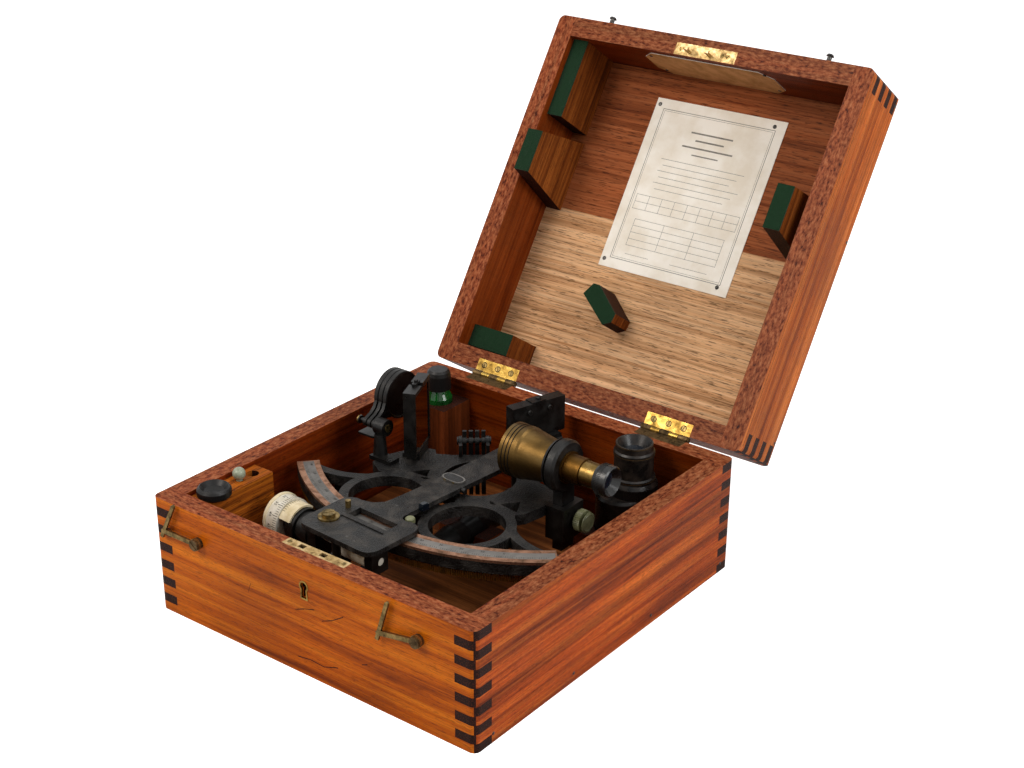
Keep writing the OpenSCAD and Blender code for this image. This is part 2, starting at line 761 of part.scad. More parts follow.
shade_pin_r = 1.6;
shade_bore_r = shade_pin_r + 0.06;
shade_t = 3;
index_shade_spot = [-29.5, -35.3];
index_shade_deg = 40;
index_shade_z = 82;
index_shade_pitch = 4.6;
index_shade_drop = 30.5;
index_shade_r = 12.5;
horizon_pin = [-79.2, 95];
horizon_shade_u = -87;
horizon_shade_pitch = 4.2;
horizon_shade_r = 18;
horizon_shade_reach = 31.3;
horizon_shade_deg = 26.5;

// Pin along +X through the shades' hubs, from x0 to x1, with a head at both ends
module shade_pin(x0, x1) {
    translate([x0, 0, 0]) rotate([0, 90, 0]) cylinder(r = shade_pin_r, h = x1 - x0);
    for (x = [x0 - 1, x1]) translate([x, 0, 0]) rotate([0, 90, 0]) cylinder(r = 3, h = 1);
}

// A round shade that swings about the X axis: hub, stem along +Y, rim and tinted glass
module shade(reach, r, tail) {
    difference() {
        union() {
            rotate([0, 90, 0]) cylinder(r = 3.4, h = shade_t);
            translate([0, 0, -1.8]) cube([shade_t, reach - r + 1, 3.6]);
            if (tail > 0) translate([0, -tail, -1.2]) cube([shade_t, tail, 2.4]);
            translate([0, reach, 0]) rotate([0, 90, 0]) cylinder(r = r, h = shade_t);
        }
        translate([-1, 0, 0]) rotate([0, 90, 0]) cylinder(r = shade_bore_r, h = shade_t + 2);
        for (x = [-1, shade_t - 0.7]) translate([x, reach, 0]) rotate([0, 90, 0])
            cylinder(r = r - 2, h = 1.7);
    }
}

module at_index_shades(z) {
    at_pivot(z) translate(index_shade_spot) rotate(index_shade_deg) children();
}

module index_shade(k) color(shade_glass) at_index_shades(index_shade_z)
    translate([(k - 2.5) * index_shade_pitch - shade_t / 2, 0, 0]) rotate([-90, 0, 0])
        shade(index_shade_drop, index_shade_r, 8);

module horizon_shade(k) color(shade_glass)
    at_pivot(horizon_pin[1]) translate([horizon_shade_u - (k - 1) * horizon_shade_pitch, horizon_pin[0], 0])
        rotate([horizon_shade_deg, 0, 0]) shade(horizon_shade_reach, horizon_shade_r, 0);

module index_shade_1() index_shade(1);

module index_shade_2() index_shade(2);

module index_shade_3() index_shade(3);

module index_shade_4() index_shade(4);

module horizon_shade_1() horizon_shade(1);

module horizon_shade_2() horizon_shade(2);

module horizon_shade_3() horizon_shade(3);

bar_x = [63.5, 71.5];
bar_y = [-64, -50];
block_x = [shelf_x, 76.5];
block_y = [-69, -46];
block_z = 48;
bar_clear = 0.3;
knob_spot = [-54.2, 61.5];
knob_shank_r = 2;

// What is screwed to the frame: both pins of the shades and the guide of the rising piece
module frame_brackets() color(crackle) {
    at_pivot() {
        translate([-82, -91, frame_top]) cube([20, 10, 3]);
        translate([-77.5, horizon_pin[0] - 4.6, frame_top])
            cylinder(r1 = 5.6, r2 = 4, h = horizon_pin[1] - 4 - frame_top);
        translate([-83, horizon_pin[0], horizon_pin[1]]) rotate([0, 90, 0]) cylinder(r = 6.3, h = 9);
        translate([0, horizon_pin[0], horizon_pin[1]])
            shade_pin(horizon_shade_u - 2 * horizon_shade_pitch - 4, -82);
    }
    at_index_shades(index_shade_z) shade_pin(-11.4, 11.4);
    at_index_shades(0) for (s = [-1, 1]) translate([s * 9.9 - 1.25, 0, 0]) {
        translate([0, -9.5, frame_top]) cube([2.5, 5.5, 4]);
        translate([0, -9.5, frame_top + 3.5]) cube([2.5, 9.5, 6]);
        translate([0, 0, index_shade_z]) rotate([0, 90, 0]) cylinder(r = 3.6, h = 2.5);
    }
    at_pivot() difference() {
        translate([block_x[0], block_y[0], block_z])
            cube([block_x[1] - block_x[0], block_y[1] - block_y[0], frame_top - block_z]);
        translate([bar_x[0] - bar_clear, bar_y[0] - bar_clear, block_z - 1])
            cube([bar_x[1] - bar_x[0] + 2 * bar_clear, bar_y[1] - bar_y[0] + 2 * bar_clear, 40]);
        translate([bar_x[1] - 1, knob_spot[0], knob_spot[1]]) rotate([0, 90, 0])
            cylinder(r = knob_shank_r + 0.06, h = 10);
    }
}

scope_v = -58.2;
collar_x = [62, 72];
collar_r = 18.7;
tube_r = 10;
tube_fit = 0.05;

module at_scope() {
    at_pivot(scope_z) translate([0, scope_v, 0]) rotate([0, 90, 0]) children();
}

// Square bar that slides in its guide, with the collar that holds the telescope
module rising_piece() color(crackle) difference() {
    union() {
        at_pivot(38) translate([bar_x[0], bar_y[0], 0])
            cube([bar_x[1] - bar_x[0], bar_y[1] - bar_y[0], scope_z - collar_r + 4 - 38]);
        at_scope() translate([0, 0, collar_x[0]]) rotate_extrude()
            polygon([[0, 0], [collar_r - 3, 0], [collar_r, 3], [collar_r, 8], [collar_r - 1.5, 10], [0, 10]]);
    }
    at_scope() translate([0, 0, collar_x[0] - 1]) cylinder(r = tube_r + tube_fit, h = 20);
}

knob_r = 8;

// Knurled thumb screw of the rising piece
module rising_knob() color("#8b8a63")
    at_pivot(knob_spot[1]) translate([bar_x[1] + bar_clear + 0.2, knob_spot[0], 0]) rotate([0, 90, 0]) {
        cylinder(r = knob_shank_r, h = 8);
        translate([0, 0, 5.2]) cylinder(r = 3.5, h = 2);
        translate([0, 0, 7]) linear_extrude(5)
            polygon([for (i = [0 : 71]) (knob_r - (i % 2) * 0.35) * [cos(i * 5), sin(i * 5)]]);
    }

bell_x = [25.2, 62];
tube_end = 86;
draw_r = 8.94;

// Telescope: stepped objective bell with its lens, cone, and the tube that passes through the collar
module telescope_tube() color("#8f7130") at_scope() rotate_extrude() polygon([
    [0, bell_x[0] + 2.4], [objective_r - 3.4, bell_x[0] + 3], [objective_r - 3.4, bell_x[0]],
    [objective_r, bell_x[0]], [objective_r, bell_x[0] + 2.6],
    [objective_r - 0.7, bell_x[0] + 3], [objective_r, bell_x[0] + 3.4], [objective_r, bell_x[0] + 5.6],
    [objective_r - 0.7, bell_x[0] + 6], [objective_r - 0.2, bell_x[0] + 6.4],
    [objective_r - 0.2, bell_x[0] + 13], [objective_r - 0.9, bell_x[0] + 15],
    [15.6, bell_x[1] - 6], [14.6, bell_x[1]],
    [tube_r, bell_x[1]], [tube_r, collar_x[1] + 0.1], [tube_r + 1.6, collar_x[1] + 0.1],
    [tube_r + 1.6, collar_x[1] + 1.6], [tube_r, collar_x[1] + 1.6], [tube_r, tube_end],
    [draw_r + 0.06, tube_end], [draw_r + 0.06, bell_x[1] - 4], [13, bell_x[1] - 7],
    [objective_r - 3.4, bell_x[0] + 14], [objective_r - 3.4, bell_x[0] + 7], [0, bell_x[0] + 7]
]);

cup_r = 11;
cup_x = [98, 109];

// Draw tube with its eyecup, which slides to focus
module telescope_eyepiece() color("#a08848") at_scope() rotate_extrude() polygon([
    [draw_r - 1.5, 66], [draw_r, 66], [draw_r, cup_x[0]], [cup_r - 1, cup_x[0]],
    [cup_r, cup_x[0] + 3], [cup_r, cup_x[1] - 1], [cup_r - 1, cup_x[1]], [6, cup_x[1] - 5],
    [0, cup_x[1] - 6], [0, cup_x[0]], [draw_r - 1.5, cup_x[0] - 3]
]);

// INDEX ARM, drawn straight forward and turned to its angle

module at_arm(z) {
    at_pivot(z) rotate(arm_deg) children();
}

plate_v = [-202.5, -152.5];
plate_u = [-37, 33];
plate_r = 9;
window_v = [-172, -161];
window_u = [-18, 18];

module arm_plan() {
    difference() {
        union() {
            circle(20);
            polygon([[-9, -10], [13.5, -10], [14.4, -56], [12.6, -115], [12, -160], [-12, -160], [-9.2, -115]]);
            polygon([[-9.3, -128], [-11.5, -144], [-17, -150], [-25, plate_v[1]], [-25, plate_v[1] - 2],
                [18, plate_v[1] - 2], [14, -149], [11.5, -143], [12, -128]]);
            translate([plate_u[0], plate_v[0] + plate_r])
                square([plate_u[1] - plate_u[0], plate_v[1] - plate_v[0] - 2 * plate_r]);
            translate([plate_u[0] + plate_r, plate_v[0]])
                square([plate_u[1] - plate_u[0] - 2 * plate_r, plate_v[1] - plate_v[0]]);
            for (u = [plate_u[0] + plate_r, plate_u[1] - plate_r], v = [plate_v[0] + plate_r, plate_v[1] - plate_r])
                translate([u, v]) circle(plate_r);
        }
        translate([window_u[0], window_v[0]])
            square([window_u[1] - window_u[0], window_v[1] - window_v[0]]);
        translate([17.5, -149]) circle(5);
        circle(axle_r + axle_clear);
    }
}

module index_arm() color(crackle) {
    at_arm(arm_z) difference() {
        linear_extrude(arm_t) arm_plan();
        translate([-20, -178.5, arm_t - 0.8]) cube([40, 2.4, 2]);
    }
}

index_mirror_w = 46.5;
index_mirror_top = 110;
index_mirror_turn = 76.9 - 90 + 180;

module at_index_mirror(z) {
    at_arm(z) rotate(index_mirror_turn) children();
}

module index_mirror_frame() color(crackle) {
    at_index_mirror(arm_top + 3) mirror_frame(index_mirror_w, index_mirror_top - arm_top - 3, 9, 2);
    at_index_mirror(arm_top) translate([-9, -17, 0]) cube([16, 34, 3]);
}

module index_mirror() color("#8d8f8c") at_index_mirror(arm_top + 3)
    translate([4.5 - mirror_t - 0.6, -index_mirror_w / 2 + 2, 2])
        cube([mirror_t, index_mirror_w - 4, index_mirror_top - arm_top - 7]);

worm_v = -182;
worm_z = 62;
worm_r = 8;
worm_shaft_r = 3;
drum_u = [-77, -63.4];
finger_pad_z = 50;
finger_pad_r = 8.5;
lever_pivot = [-4, -197];
pad_u = [-38, -18.5];

// Things that run along the worm's axis are drawn along +Z from u = 0
module on_worm() {
    at_arm(worm_z) translate([0, worm_v, 0]) rotate([0, 90, 0]) children();
}

// Round housing of the worm, as a profile along the worm's axis from the drum's side
worm_barrel = [[0, -62.6], [9.5, -62.6], [9.5, -58.6], [12.6, -58.2], [13, -57.6], [13, -50.4],
    [12.6, -50], [11, -50], [11, -39], [0, -39]];

// The housing below the arm's plate, its far bearing, the fixed finger pad and the lever's post
module worm_box() color(crackle) difference() {
    union() {
        on_worm() rotate_extrude() polygon(worm_barrel);
        worm_mounts();
    }
    on_worm() translate([0, 0, -70]) cylinder(r = worm_shaft_r + 0.06, h = 100);
}

module worm_mounts() {
    at_arm(0) {
        translate([-42, worm_v - 10, 56]) cube([12, 16, arm_z - 56]);
        translate([16, worm_v - 9, 54]) cube([7, 15, arm_z - 54]);
        translate([pad_u[0], worm_v - 1, finger_pad_z]) rotate([0, 90, 0]) cylinder(r = finger_pad_r, h = 5);
        translate([lever_pivot[0], lever_pivot[1], 44.2]) {
            cylinder(r = 3, h = arm_z - 44.2);
            cylinder(r = 4.5, h = 1.6);
        }
    }
}

// Lever that lifts the worm out of the rack when the two finger pads are squeezed together
module release_lever() color(crackle) difference() {
    at_arm(0) {
        translate([lever_pivot[0], lever_pivot[1], 46]) cylinder(r = 6, h = 5);
        translate([lever_pivot[0], lever_pivot[1], 46.4]) rotate(42) translate([-2.5, 4.5, 0]) cube([5, 11, 4]);
        translate([pad_u[1], worm_v - 1, finger_pad_z]) rotate([0, 90, 0]) cylinder(r = finger_pad_r, h = 5);
    }
    at_arm(0) translate([lever_pivot[0], lever_pivot[1], 40]) cylinder(r = 3.05, h = 20);
}

// Ivory drum on the worm's shaft
module micrometer_drum() color(ivory) on_worm() {
    translate([0, 0, drum_u[0]]) rotate_extrude() polygon([
        [0, 2], [9, 2], [drum_r - 2, 0], [drum_r, 1], [drum_r, 3], [drum_r - 0.6, 3.4],
        [drum_r - 0.6, drum_u[1] - drum_u[0]], [0, drum_u[1] - drum_u[0]]
    ]);
    translate([0, 0, drum_u[1] - 1]) cylinder(r = worm_shaft_r, h = 23 - drum_u[1]);
    translate([0, 0, -9]) cylinder(r = worm_r - 0.5, h = 23);
}

screw_spot = [-24, -184.5];
post_spot = [-25, -165.5];
badge_spot = [0.5, -88.3];

// Big screw and washer, reading-lamp post and plain oval badge on the arm
module arm_fittings() color(brass) at_arm(arm_top) {
    translate(screw_spot) cylinder(r = 7.4, h = 1.2);
    translate([screw_spot[0], screw_spot[1], 1.2]) screw_head(4.7, 2.6, 65);
    translate(post_spot) cylinder(r = 2, h = 5);
    translate(badge_spot) {
        translate([-5, 0, 0]) cylinder(r = 4.2, h = 1);
        translate([5, 0, 0]) cylinder(r = 4.2, h = 1);
        translate([-5, -5, 0]) cube([10, 10, 1]);
    }
}

// ACCESSORIES

mono_tube = [5, 6.5];

// Prismatic monocular standing on its objective, ocular up
module monocular() color("#1a1a1b") translate([mono_spot[0], mono_spot[1], 0]) difference() {
    union() {
        translate([0, 0, mono_z + rest_gap]) rotate_extrude() polygon([
            [0, 1], [monocular_r - 4, 1], [monocular_r - 3, 0], [monocular_r - 1, 0], [monocular_r - 1, 18],
            [monocular_r, 20], [monocular_r, 44], [monocular_r - 1.5, 46], [0, 46]
        ]);
        translate([mono_tube[0], mono_tube[1], 40]) rotate_extrude() polygon([
            [0, 0], [16.5, 0], [16.5, 17], [17.6, 18], [17.6, 26], [16, 28.5], [15.7, 29.2], [15.7, 31.4],
            [14.3, 32.4], [14.3, 47], [14.8, 47.8], [14.8, 51], [13.7, 52.3], [13.4, 57], [0, 57]
        ]);
    }
    translate([mono_tube[0], mono_tube[1], 97 - 7]) cylinder(r1 = 7.6, r2 = 12.3, h = 7.01);
}

module at_bottle(z) {
    translate([bottle_spot[0], bottle_spot[1], z]) children();
}

neck_r = 6.6;
cap_z = 84.5;
cap_top = 100;

module oil_bottle() color("#1f6b3a") at_bottle(bottle_z + rest_gap) rotate_extrude() polygon([
    [0, 0], [bottle_r - 1, 0], [bottle_r, 1], [bottle_r, 53], [bottle_r - 2, 57], [neck_r + 1, 59],
    [neck_r, 60], [neck_r, 71], [0, 71]
]);

module bottle_cap() color("#17181a") at_bottle(cap_z) difference() {
    rotate_extrude() polygon([
        [0, 0], [9.5, 0], [9.3, 11], [8.6, cap_top - cap_z - 1.6], [7, cap_top - cap_z], [0, cap_top - cap_z]
    ]);
    translate([0, 0, -1]) cylinder(r = neck_r + 0.08, h = 13);
}

// Spare eyepiece with its black cup, standing in the pocket block
module spare_eyepiece() color("#161616") on_pocket(eyepiece_spot, pocket_top) rotate_extrude() polygon([
    [0, -30], [eyepiece_stem_r, -30], [eyepiece_stem_r, 0.4], [11, 0.4], [11.9, 1.6], [11.9, 5.5],
    [11, 6.8], [9.8, 7.6], [7, 4.5], [3, 3.6], [0, 3.6]
]);

// Adjusting key with its ball grip, standing in the pocket block
module adjusting_key() color("#7f8f70") on_pocket(key_spot, pocket_top) {
    translate([0, 0, -26]) cylinder(r = key_stem_r, h = 28);
    translate([0, 0, 5]) sphere(r = 4.6);
}

base_front();
base_back();
base_left();
base_right();
base_floor();
lock_case();
lock_bolt();
escutcheon();
base_hinge_leaves();
hinge_pins();
base_screws();
hook_left();
hook_right();
pocket_block();
bottle_block();
monocular_socket();
rest_blocks();
lid_front();
lid_back();
lid_left();
lid_right();
lid_panel();
lid_hinge_leaves();
lid_screws();
catch_plate();
hook_studs();
pad_blocks();
baize_pads();
lid_papers();
sextant_frame();
arc_scale();
rack_arc();
handle_grip();
frame_legs();
frame_brackets();
horizon_mirror_frame();
horizon_mirror();
index_arm();
index_mirror_frame();
index_mirror();
worm_box();
arm_fittings();
micrometer_drum();
release_lever();
index_shade_1();
index_shade_2();
index_shade_3();
index_shade_4();
horizon_shade_1();
horizon_shade_2();
horizon_shade_3();
rising_piece();
rising_knob();
telescope_tube();
telescope_eyepiece();
monocular();
oil_bottle();
bottle_cap();
spare_eyepiece();
adjusting_key();
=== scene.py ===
"""Looks of a mahogany sextant box with its sextant and accessories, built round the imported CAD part.

Lengths are written in millimetres and turned to metres where a mesh is made. The frame is the
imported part's own: the origin is the centre of the case's underside, +X right, +Y to the hinges.
"""
from __future__ import annotations

import json
import logging
import math
from dataclasses import dataclass
from enum import Enum
from typing import Any, Callable, Iterable, Sequence

import bmesh
import bpy
from mathutils import Matrix, Vector, noise

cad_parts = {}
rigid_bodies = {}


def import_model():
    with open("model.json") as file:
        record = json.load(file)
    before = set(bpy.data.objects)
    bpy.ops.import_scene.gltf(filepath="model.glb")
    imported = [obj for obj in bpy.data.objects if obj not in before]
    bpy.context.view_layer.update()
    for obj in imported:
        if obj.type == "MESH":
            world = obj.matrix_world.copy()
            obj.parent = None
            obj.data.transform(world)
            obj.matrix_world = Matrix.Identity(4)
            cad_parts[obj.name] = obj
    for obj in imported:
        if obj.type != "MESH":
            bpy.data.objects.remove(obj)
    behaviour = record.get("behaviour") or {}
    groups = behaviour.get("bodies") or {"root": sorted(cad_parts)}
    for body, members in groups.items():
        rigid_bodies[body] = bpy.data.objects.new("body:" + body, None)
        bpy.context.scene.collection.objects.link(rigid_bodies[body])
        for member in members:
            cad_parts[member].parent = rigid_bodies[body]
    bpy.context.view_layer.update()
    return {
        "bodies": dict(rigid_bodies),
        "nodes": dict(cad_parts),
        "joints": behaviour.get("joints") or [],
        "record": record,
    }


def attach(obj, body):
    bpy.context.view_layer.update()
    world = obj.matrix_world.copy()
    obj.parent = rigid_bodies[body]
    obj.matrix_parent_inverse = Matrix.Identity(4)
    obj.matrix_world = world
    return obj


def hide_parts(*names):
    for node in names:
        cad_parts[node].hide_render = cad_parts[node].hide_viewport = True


LOG = logging.getLogger("sextant_box")
MM = 0.001

PIVOT_Y = 97.7
HINGE_Y = 149.2
HINGE_Z = 87.5
OPEN_DEG = 123.5
ARM_DEG = -3.6
PANEL_Z = 137.7

Vec = tuple[float, float, float]
Point = tuple[float, float]


class Grain(Enum):
    """The axis that a board's grain runs along, in the shut case."""

    ALONG_X = 0
    ALONG_Y = 1
    UPRIGHT = 2


class Body(Enum):
    """The rigid bodies that extra pieces ride on."""

    BASE = "base"
    LID = "lid"
    SEXTANT = "sextant"
    ARM = "arm"
    DRUM = "drum"
    RISING = "rising"
    KNOB = "knob"
    EYEPIECE = "eyepiece"
    MONOCULAR = "monocular_body"


def colour(code: str, alpha: float = 1.0) -> tuple[float, float, float, float]:
    """Turn an sRGB hex colour to linear values.

    Args:
        code: Six hex digits with a leading hash sign.
        alpha: The fourth value.

    Returns:
        Linear red, green and blue, with alpha.
    """
    parts = [int(code[i:i + 2], 16) / 255 for i in (1, 3, 5)]
    r, g, b = (c / 12.92 if c <= 0.04045 else ((c + 0.055) / 1.055) ** 2.4 for c in parts)
    return (r, g, b, alpha)


def put(tree: bpy.types.NodeTree, kind: str, props: dict[str, Any] | None = None,
        ins: dict[Any, Any] | None = None) -> bpy.types.Node:
    """Add a node to a tree with its settings and links.

    Args:
        tree: The tree that gets the node.
        kind: The node's type name.
        props: Settings by attribute name. A ramp's stops are given as "stops".
        ins: Inputs by name or number: a value, or a socket to link from.

    Returns:
        The new node.
    """
    item = tree.nodes.new(kind)
    for name, value in (props or {}).items():
        if name == "stops":
            marks = item.color_ramp.elements
            while len(marks) < len(value):
                marks.new(0.5)
            for mark, (place, tint) in zip(marks, value):
                mark.position = place
                mark.color = colour(tint) if isinstance(tint, str) else (tint, tint, tint, 1.0)
        else:
            setattr(item, name, value)
    for name, value in (ins or {}).items():
        socket = item.inputs[name]
        if isinstance(value, bpy.types.NodeSocket):
            tree.links.new(value, socket)
        else:
            socket.default_value = value
    return item


def reckon(tree: bpy.types.NodeTree, operation: str, a: Any, b: Any) -> bpy.types.Node:
    """Add a node that combines two numbers."""
    return put(tree, "ShaderNodeMath", {"operation": operation}, {0: a, 1: b})


def new_material(name: str) -> tuple[bpy.types.Material, bpy.types.NodeTree, bpy.types.Node]:
    """Start a material that holds a Principled shader.

    Args:
        name: The material's name.

    Returns:
        The material, its node tree and its shader node.
    """
    made = bpy.data.materials.new(name)
    made.use_nodes = True
    tree = made.node_tree
    tree.nodes.clear()
    shader = put(tree, "ShaderNodeBsdfPrincipled")
    out = put(tree, "ShaderNodeOutputMaterial")
    tree.links.new(shader.outputs["BSDF"], out.inputs["Surface"])
    return made, tree, shader


def place_mm(tree: bpy.types.NodeTree, lid: bool = False) -> bpy.types.NodeSocket:
    """Give the object's own coordinates in millimetres, turned shut for the open lid.

    Args:
        tree: The material's node tree.
        lid: Whether the piece belongs to the lid.

    Returns:
        A vector socket.
    """
    turn = math.radians(OPEN_DEG) if lid else 0.0
    hinge = Vector((0, HINGE_Y, HINGE_Z))
    offset = hinge - Matrix.Rotation(turn, 3, "X") @ hinge if lid else Vector((0, 0, 0))
    source = put(tree, "ShaderNodeTexCoord")
    return put(tree, "ShaderNodeMapping", None, {
        "Vector": source.outputs["Object"], "Scale": (1000, 1000, 1000),
        "Rotation": (turn, 0, 0), "Location": tuple(offset)}).outputs[0]


def facing(tree: bpy.types.NodeTree, lid: bool = False) -> bpy.types.Node:
    """Split the surface's own direction into its three parts, turned shut for the open lid.

    Args:
        tree: The material's node tree.
        lid: Whether the piece belongs to the lid.

    Returns:
        A Separate XYZ node.
    """
    source = put(tree, "ShaderNodeTexCoord")
    turned = put(tree, "ShaderNodeMapping", {"vector_type": "NORMAL"}, {
        "Vector": source.outputs["Normal"],
        "Rotation": (math.radians(OPEN_DEG) if lid else 0.0, 0, 0)})
    return put(tree, "ShaderNodeSeparateXYZ", None, {0: turned.outputs[0]})


def zone(tree: bpy.types.NodeTree, place: bpy.types.NodeSocket, axis: int, limit: float,
         soft: float = 0.05) -> bpy.types.NodeSocket:
    """Give 0 below a place along an axis and 1 above it.

    Args:
        tree: The material's node tree.
        place: Coordinates in millimetres.
        axis: 0, 1 or 2.
        limit: The place in millimetres.
        soft: Half of the length over which it changes.

    Returns:
        A number socket.
    """
    split = put(tree, "ShaderNodeSeparateXYZ", None, {0: place})
    return put(tree, "ShaderNodeMapRange", None, {
        "Value": split.outputs[axis], "From Min": limit - soft, "From Max": limit + soft}).outputs[0]


@dataclass(frozen=True)
class Timber:
    """A board's wood: straight-grained, with open pores, oiled or varnished."""

    name: str
    light: str
    mid: str
    dark: str
    grain: Grain
    lid: bool = False
    worn_rim: bool = False
    band: float = 7.0
    pore: float = 0.6
    rough: float = 0.38
    varnish: float = 0.3
    seed: float = 0.0
    # How strongly painted shade darkens the faces inside the case.
    painted_inside_shade: float = 0.0
    ribbon: float = 0.0
    halves: float | None = None
    contrast: float = 0.55
    coarse: float = 1.0

    def stretched(self, along: float, across: float) -> Vec:
        """Give a scale that draws a pattern out along the grain, from two sizes in millimetres."""
        scale = [1 / across] * 3
        scale[self.grain.value] = 1 / along
        return tuple(scale)

    def material(self) -> bpy.types.Material:
        """Build the wood with bands, fine lines, pores, dark end grain, a worn rim and painted shade inside
        the case.
        """
        made, tree, shader = new_material(self.name)
        mm = place_mm(tree, self.lid)
        shift = (self.seed * 37.0, self.seed * 91.0, self.seed * 53.0)

        def layer(along: float, across: float, detail: float, bend: float = 0.0) -> bpy.types.NodeSocket:
            """Give one noise that is drawn out along the grain."""
            spread = put(tree, "ShaderNodeMapping", None, {
                "Vector": mm, "Scale": self.stretched(along, across), "Location": shift})
            return put(tree, "ShaderNodeTexNoise", None, {
                "Vector": spread.outputs[0], "Scale": 1.0, "Detail": detail,
                "Roughness": 0.6, "Distortion": bend}).outputs["Fac"]

        def blend(mode: str, amount: Any, a: Any, b: Any) -> bpy.types.NodeSocket:
            """Mix two colours."""
            return put(tree, "ShaderNodeMix", {"data_type": "RGBA", "blend_type": mode}, {
                0: amount, 6: a, 7: b}).outputs[2]

        bands = layer(220, self.band, 4, 0.5)
        tone = put(tree, "ShaderNodeValToRGB", {"stops": [
            (0.30, self.dark), (0.47, self.mid), (0.66, self.light)]}, {0: bands})
        lines = put(tree, "ShaderNodeValToRGB", {"stops": [(0.36, 0.55), (0.56, 1.0)]},
                    {0: layer(70 * self.coarse, 1.1 * self.coarse, 3, 0.2)})
        wood = blend("MULTIPLY", self.contrast, tone.outputs[0], lines.outputs[0])
        pores = put(tree, "ShaderNodeValToRGB", {"stops": [(0.36, 0.25), (0.43, 1.0)]},
                    {0: layer(5.5 * self.coarse, 0.42 * self.coarse, 2)})
        wood = blend("MULTIPLY", self.pore, wood, pores.outputs[0])
        cloud = put(tree, "ShaderNodeTexNoise", None, {
            "Vector": mm, "Scale": 0.012, "Detail": 3.0, "Roughness": 0.55})
        mottle = put(tree, "ShaderNodeValToRGB", {"stops": [(0.35, 0.72), (0.62, 1.0)]},
                     {0: cloud.outputs["Fac"]})
        wood = blend("MULTIPLY", 0.8, wood, mottle.outputs[0])
        if self.ribbon:
            stripe = put(tree, "ShaderNodeValToRGB", {"stops": [(0.40, 0.45), (0.56, 1.0)]},
                         {0: layer(900, 9.0, 1, 0.1)})
            wood = blend("MULTIPLY", self.ribbon, wood, stripe.outputs[0])
            flecks = put(tree, "ShaderNodeMapping", None, {
                "Vector": mm, "Scale": (0.4, 0.28, 0.9), "Location": shift})
            fleck = put(tree, "ShaderNodeTexNoise", None, {
                "Vector": flecks.outputs[0], "Scale": 1.0, "Detail": 3.0, "Roughness": 0.6})
            cross = put(tree, "ShaderNodeValToRGB", {"stops": [(0.38, 0.62), (0.58, 1.0)]},
                        {0: fleck.outputs["Fac"]})
            wood = blend("MULTIPLY", self.ribbon * 0.7, wood, cross.outputs[0])
        if self.halves is not None:
            near = zone(tree, mm, 1, self.halves, 0.6)
            wood = blend("MIX", near, blend("MULTIPLY", 1.0, wood, colour("#b5836a")), wood)
        face = facing(tree, self.lid)
        across = put(tree, "ShaderNodeMath", {"operation": "ABSOLUTE"},
                     {0: face.outputs[self.grain.value]})
        is_end = reckon(tree, "GREATER_THAN", across.outputs[0], 0.6)
        speck = put(tree, "ShaderNodeTexNoise", None, {"Vector": mm, "Scale": 1.1, "Detail": 3.0})
        end_wood = put(tree, "ShaderNodeValToRGB", {"stops": [
            (0.35, "#140704"), (0.55, "#2a110a"), (0.75, "#562611")]}, {0: speck.outputs["Fac"]})
        wood = blend("MIX", is_end.outputs[0], wood, end_wood.outputs[0])
        rough: Any = put(tree, "ShaderNodeMapRange", None, {
            "Value": cloud.outputs["Fac"], "From Min": 0.3, "From Max": 0.7,
            "To Min": self.rough - 0.06, "To Max": self.rough + 0.1}).outputs[0]
        if self.worn_rim:
            wood, rough = self.wear(tree, mm, face, wood, rough, blend)
        # Painted shade on the faces inside the case.
        if self.painted_inside_shade:
            wood = self.paint_inside_shade(tree, mm, wood, blend)
        relief = reckon(tree, "MULTIPLY", lines.outputs[0], pores.outputs[0])
        bump = put(tree, "ShaderNodeBump", None, {
            "Strength": 0.35, "Distance": 0.00012, "Height": relief.outputs[0]})
        tree.links.new(wood, shader.inputs["Base Color"])
        tree.links.new(rough, shader.inputs["Roughness"])
        tree.links.new(bump.outputs[0], shader.inputs["Normal"])
        shader.inputs["Coat Weight"].default_value = self.varnish * 0.14
        shader.inputs["Coat Roughness"].default_value = 0.22
        shader.inputs["Specular IOR Level"].default_value = 0.08
        shader.inputs["IOR"].default_value = 1.5
        return made

    def wear(self, tree: bpy.types.NodeTree, mm: Any, face: bpy.types.Node, wood: Any, rough: Any,
             blend: Callable[..., Any]) -> tuple[Any, Any]:
        """Rub the rim to a dull pinkish brown with dark smears.

        Args:
            tree: The material's node tree.
            mm: Coordinates in millimetres.
            face: The split surface direction.
            wood: The colour so far.
            rough: The roughness so far.
            blend: The colour mixer.

        Returns:
            The new colour and roughness.
        """
        place = put(tree, "ShaderNodeSeparateXYZ", None, {0: mm})
        if self.lid:
            up = reckon(tree, "MULTIPLY", face.outputs[2], -1.0)
            near = reckon(tree, "LESS_THAN", place.outputs[2], 87.9)
        else:
            up = reckon(tree, "MULTIPLY", face.outputs[2], 1.0)
            near = reckon(tree, "GREATER_THAN", place.outputs[2], 87.1)
        flat = reckon(tree, "GREATER_THAN", up.outputs[0], 0.6)
        on_rim = reckon(tree, "MULTIPLY", near.outputs[0], flat.outputs[0])
        smear = put(tree, "ShaderNodeMapping", None, {
            "Vector": mm, "Scale": self.stretched(5, 2.0)})
        rub = put(tree, "ShaderNodeTexNoise", None, {
            "Vector": smear.outputs[0], "Scale": 1.0, "Detail": 6.0, "Roughness": 0.7})
        dull = put(tree, "ShaderNodeValToRGB", {"stops": [
            (0.33, "#22100a"), (0.42, "#7a3c1e"), (0.56, "#ac6c44"), (0.72, "#c99468")]},
            {0: rub.outputs["Fac"]})
        wood = blend("MIX", on_rim.outputs[0], wood, blend("MULTIPLY", 0.5, dull.outputs[0], wood))
        rough = put(tree, "ShaderNodeMix", {"data_type": "FLOAT"},
                    {0: on_rim.outputs[0], 2: rough, 3: 0.62}).outputs[0]
        return wood, rough

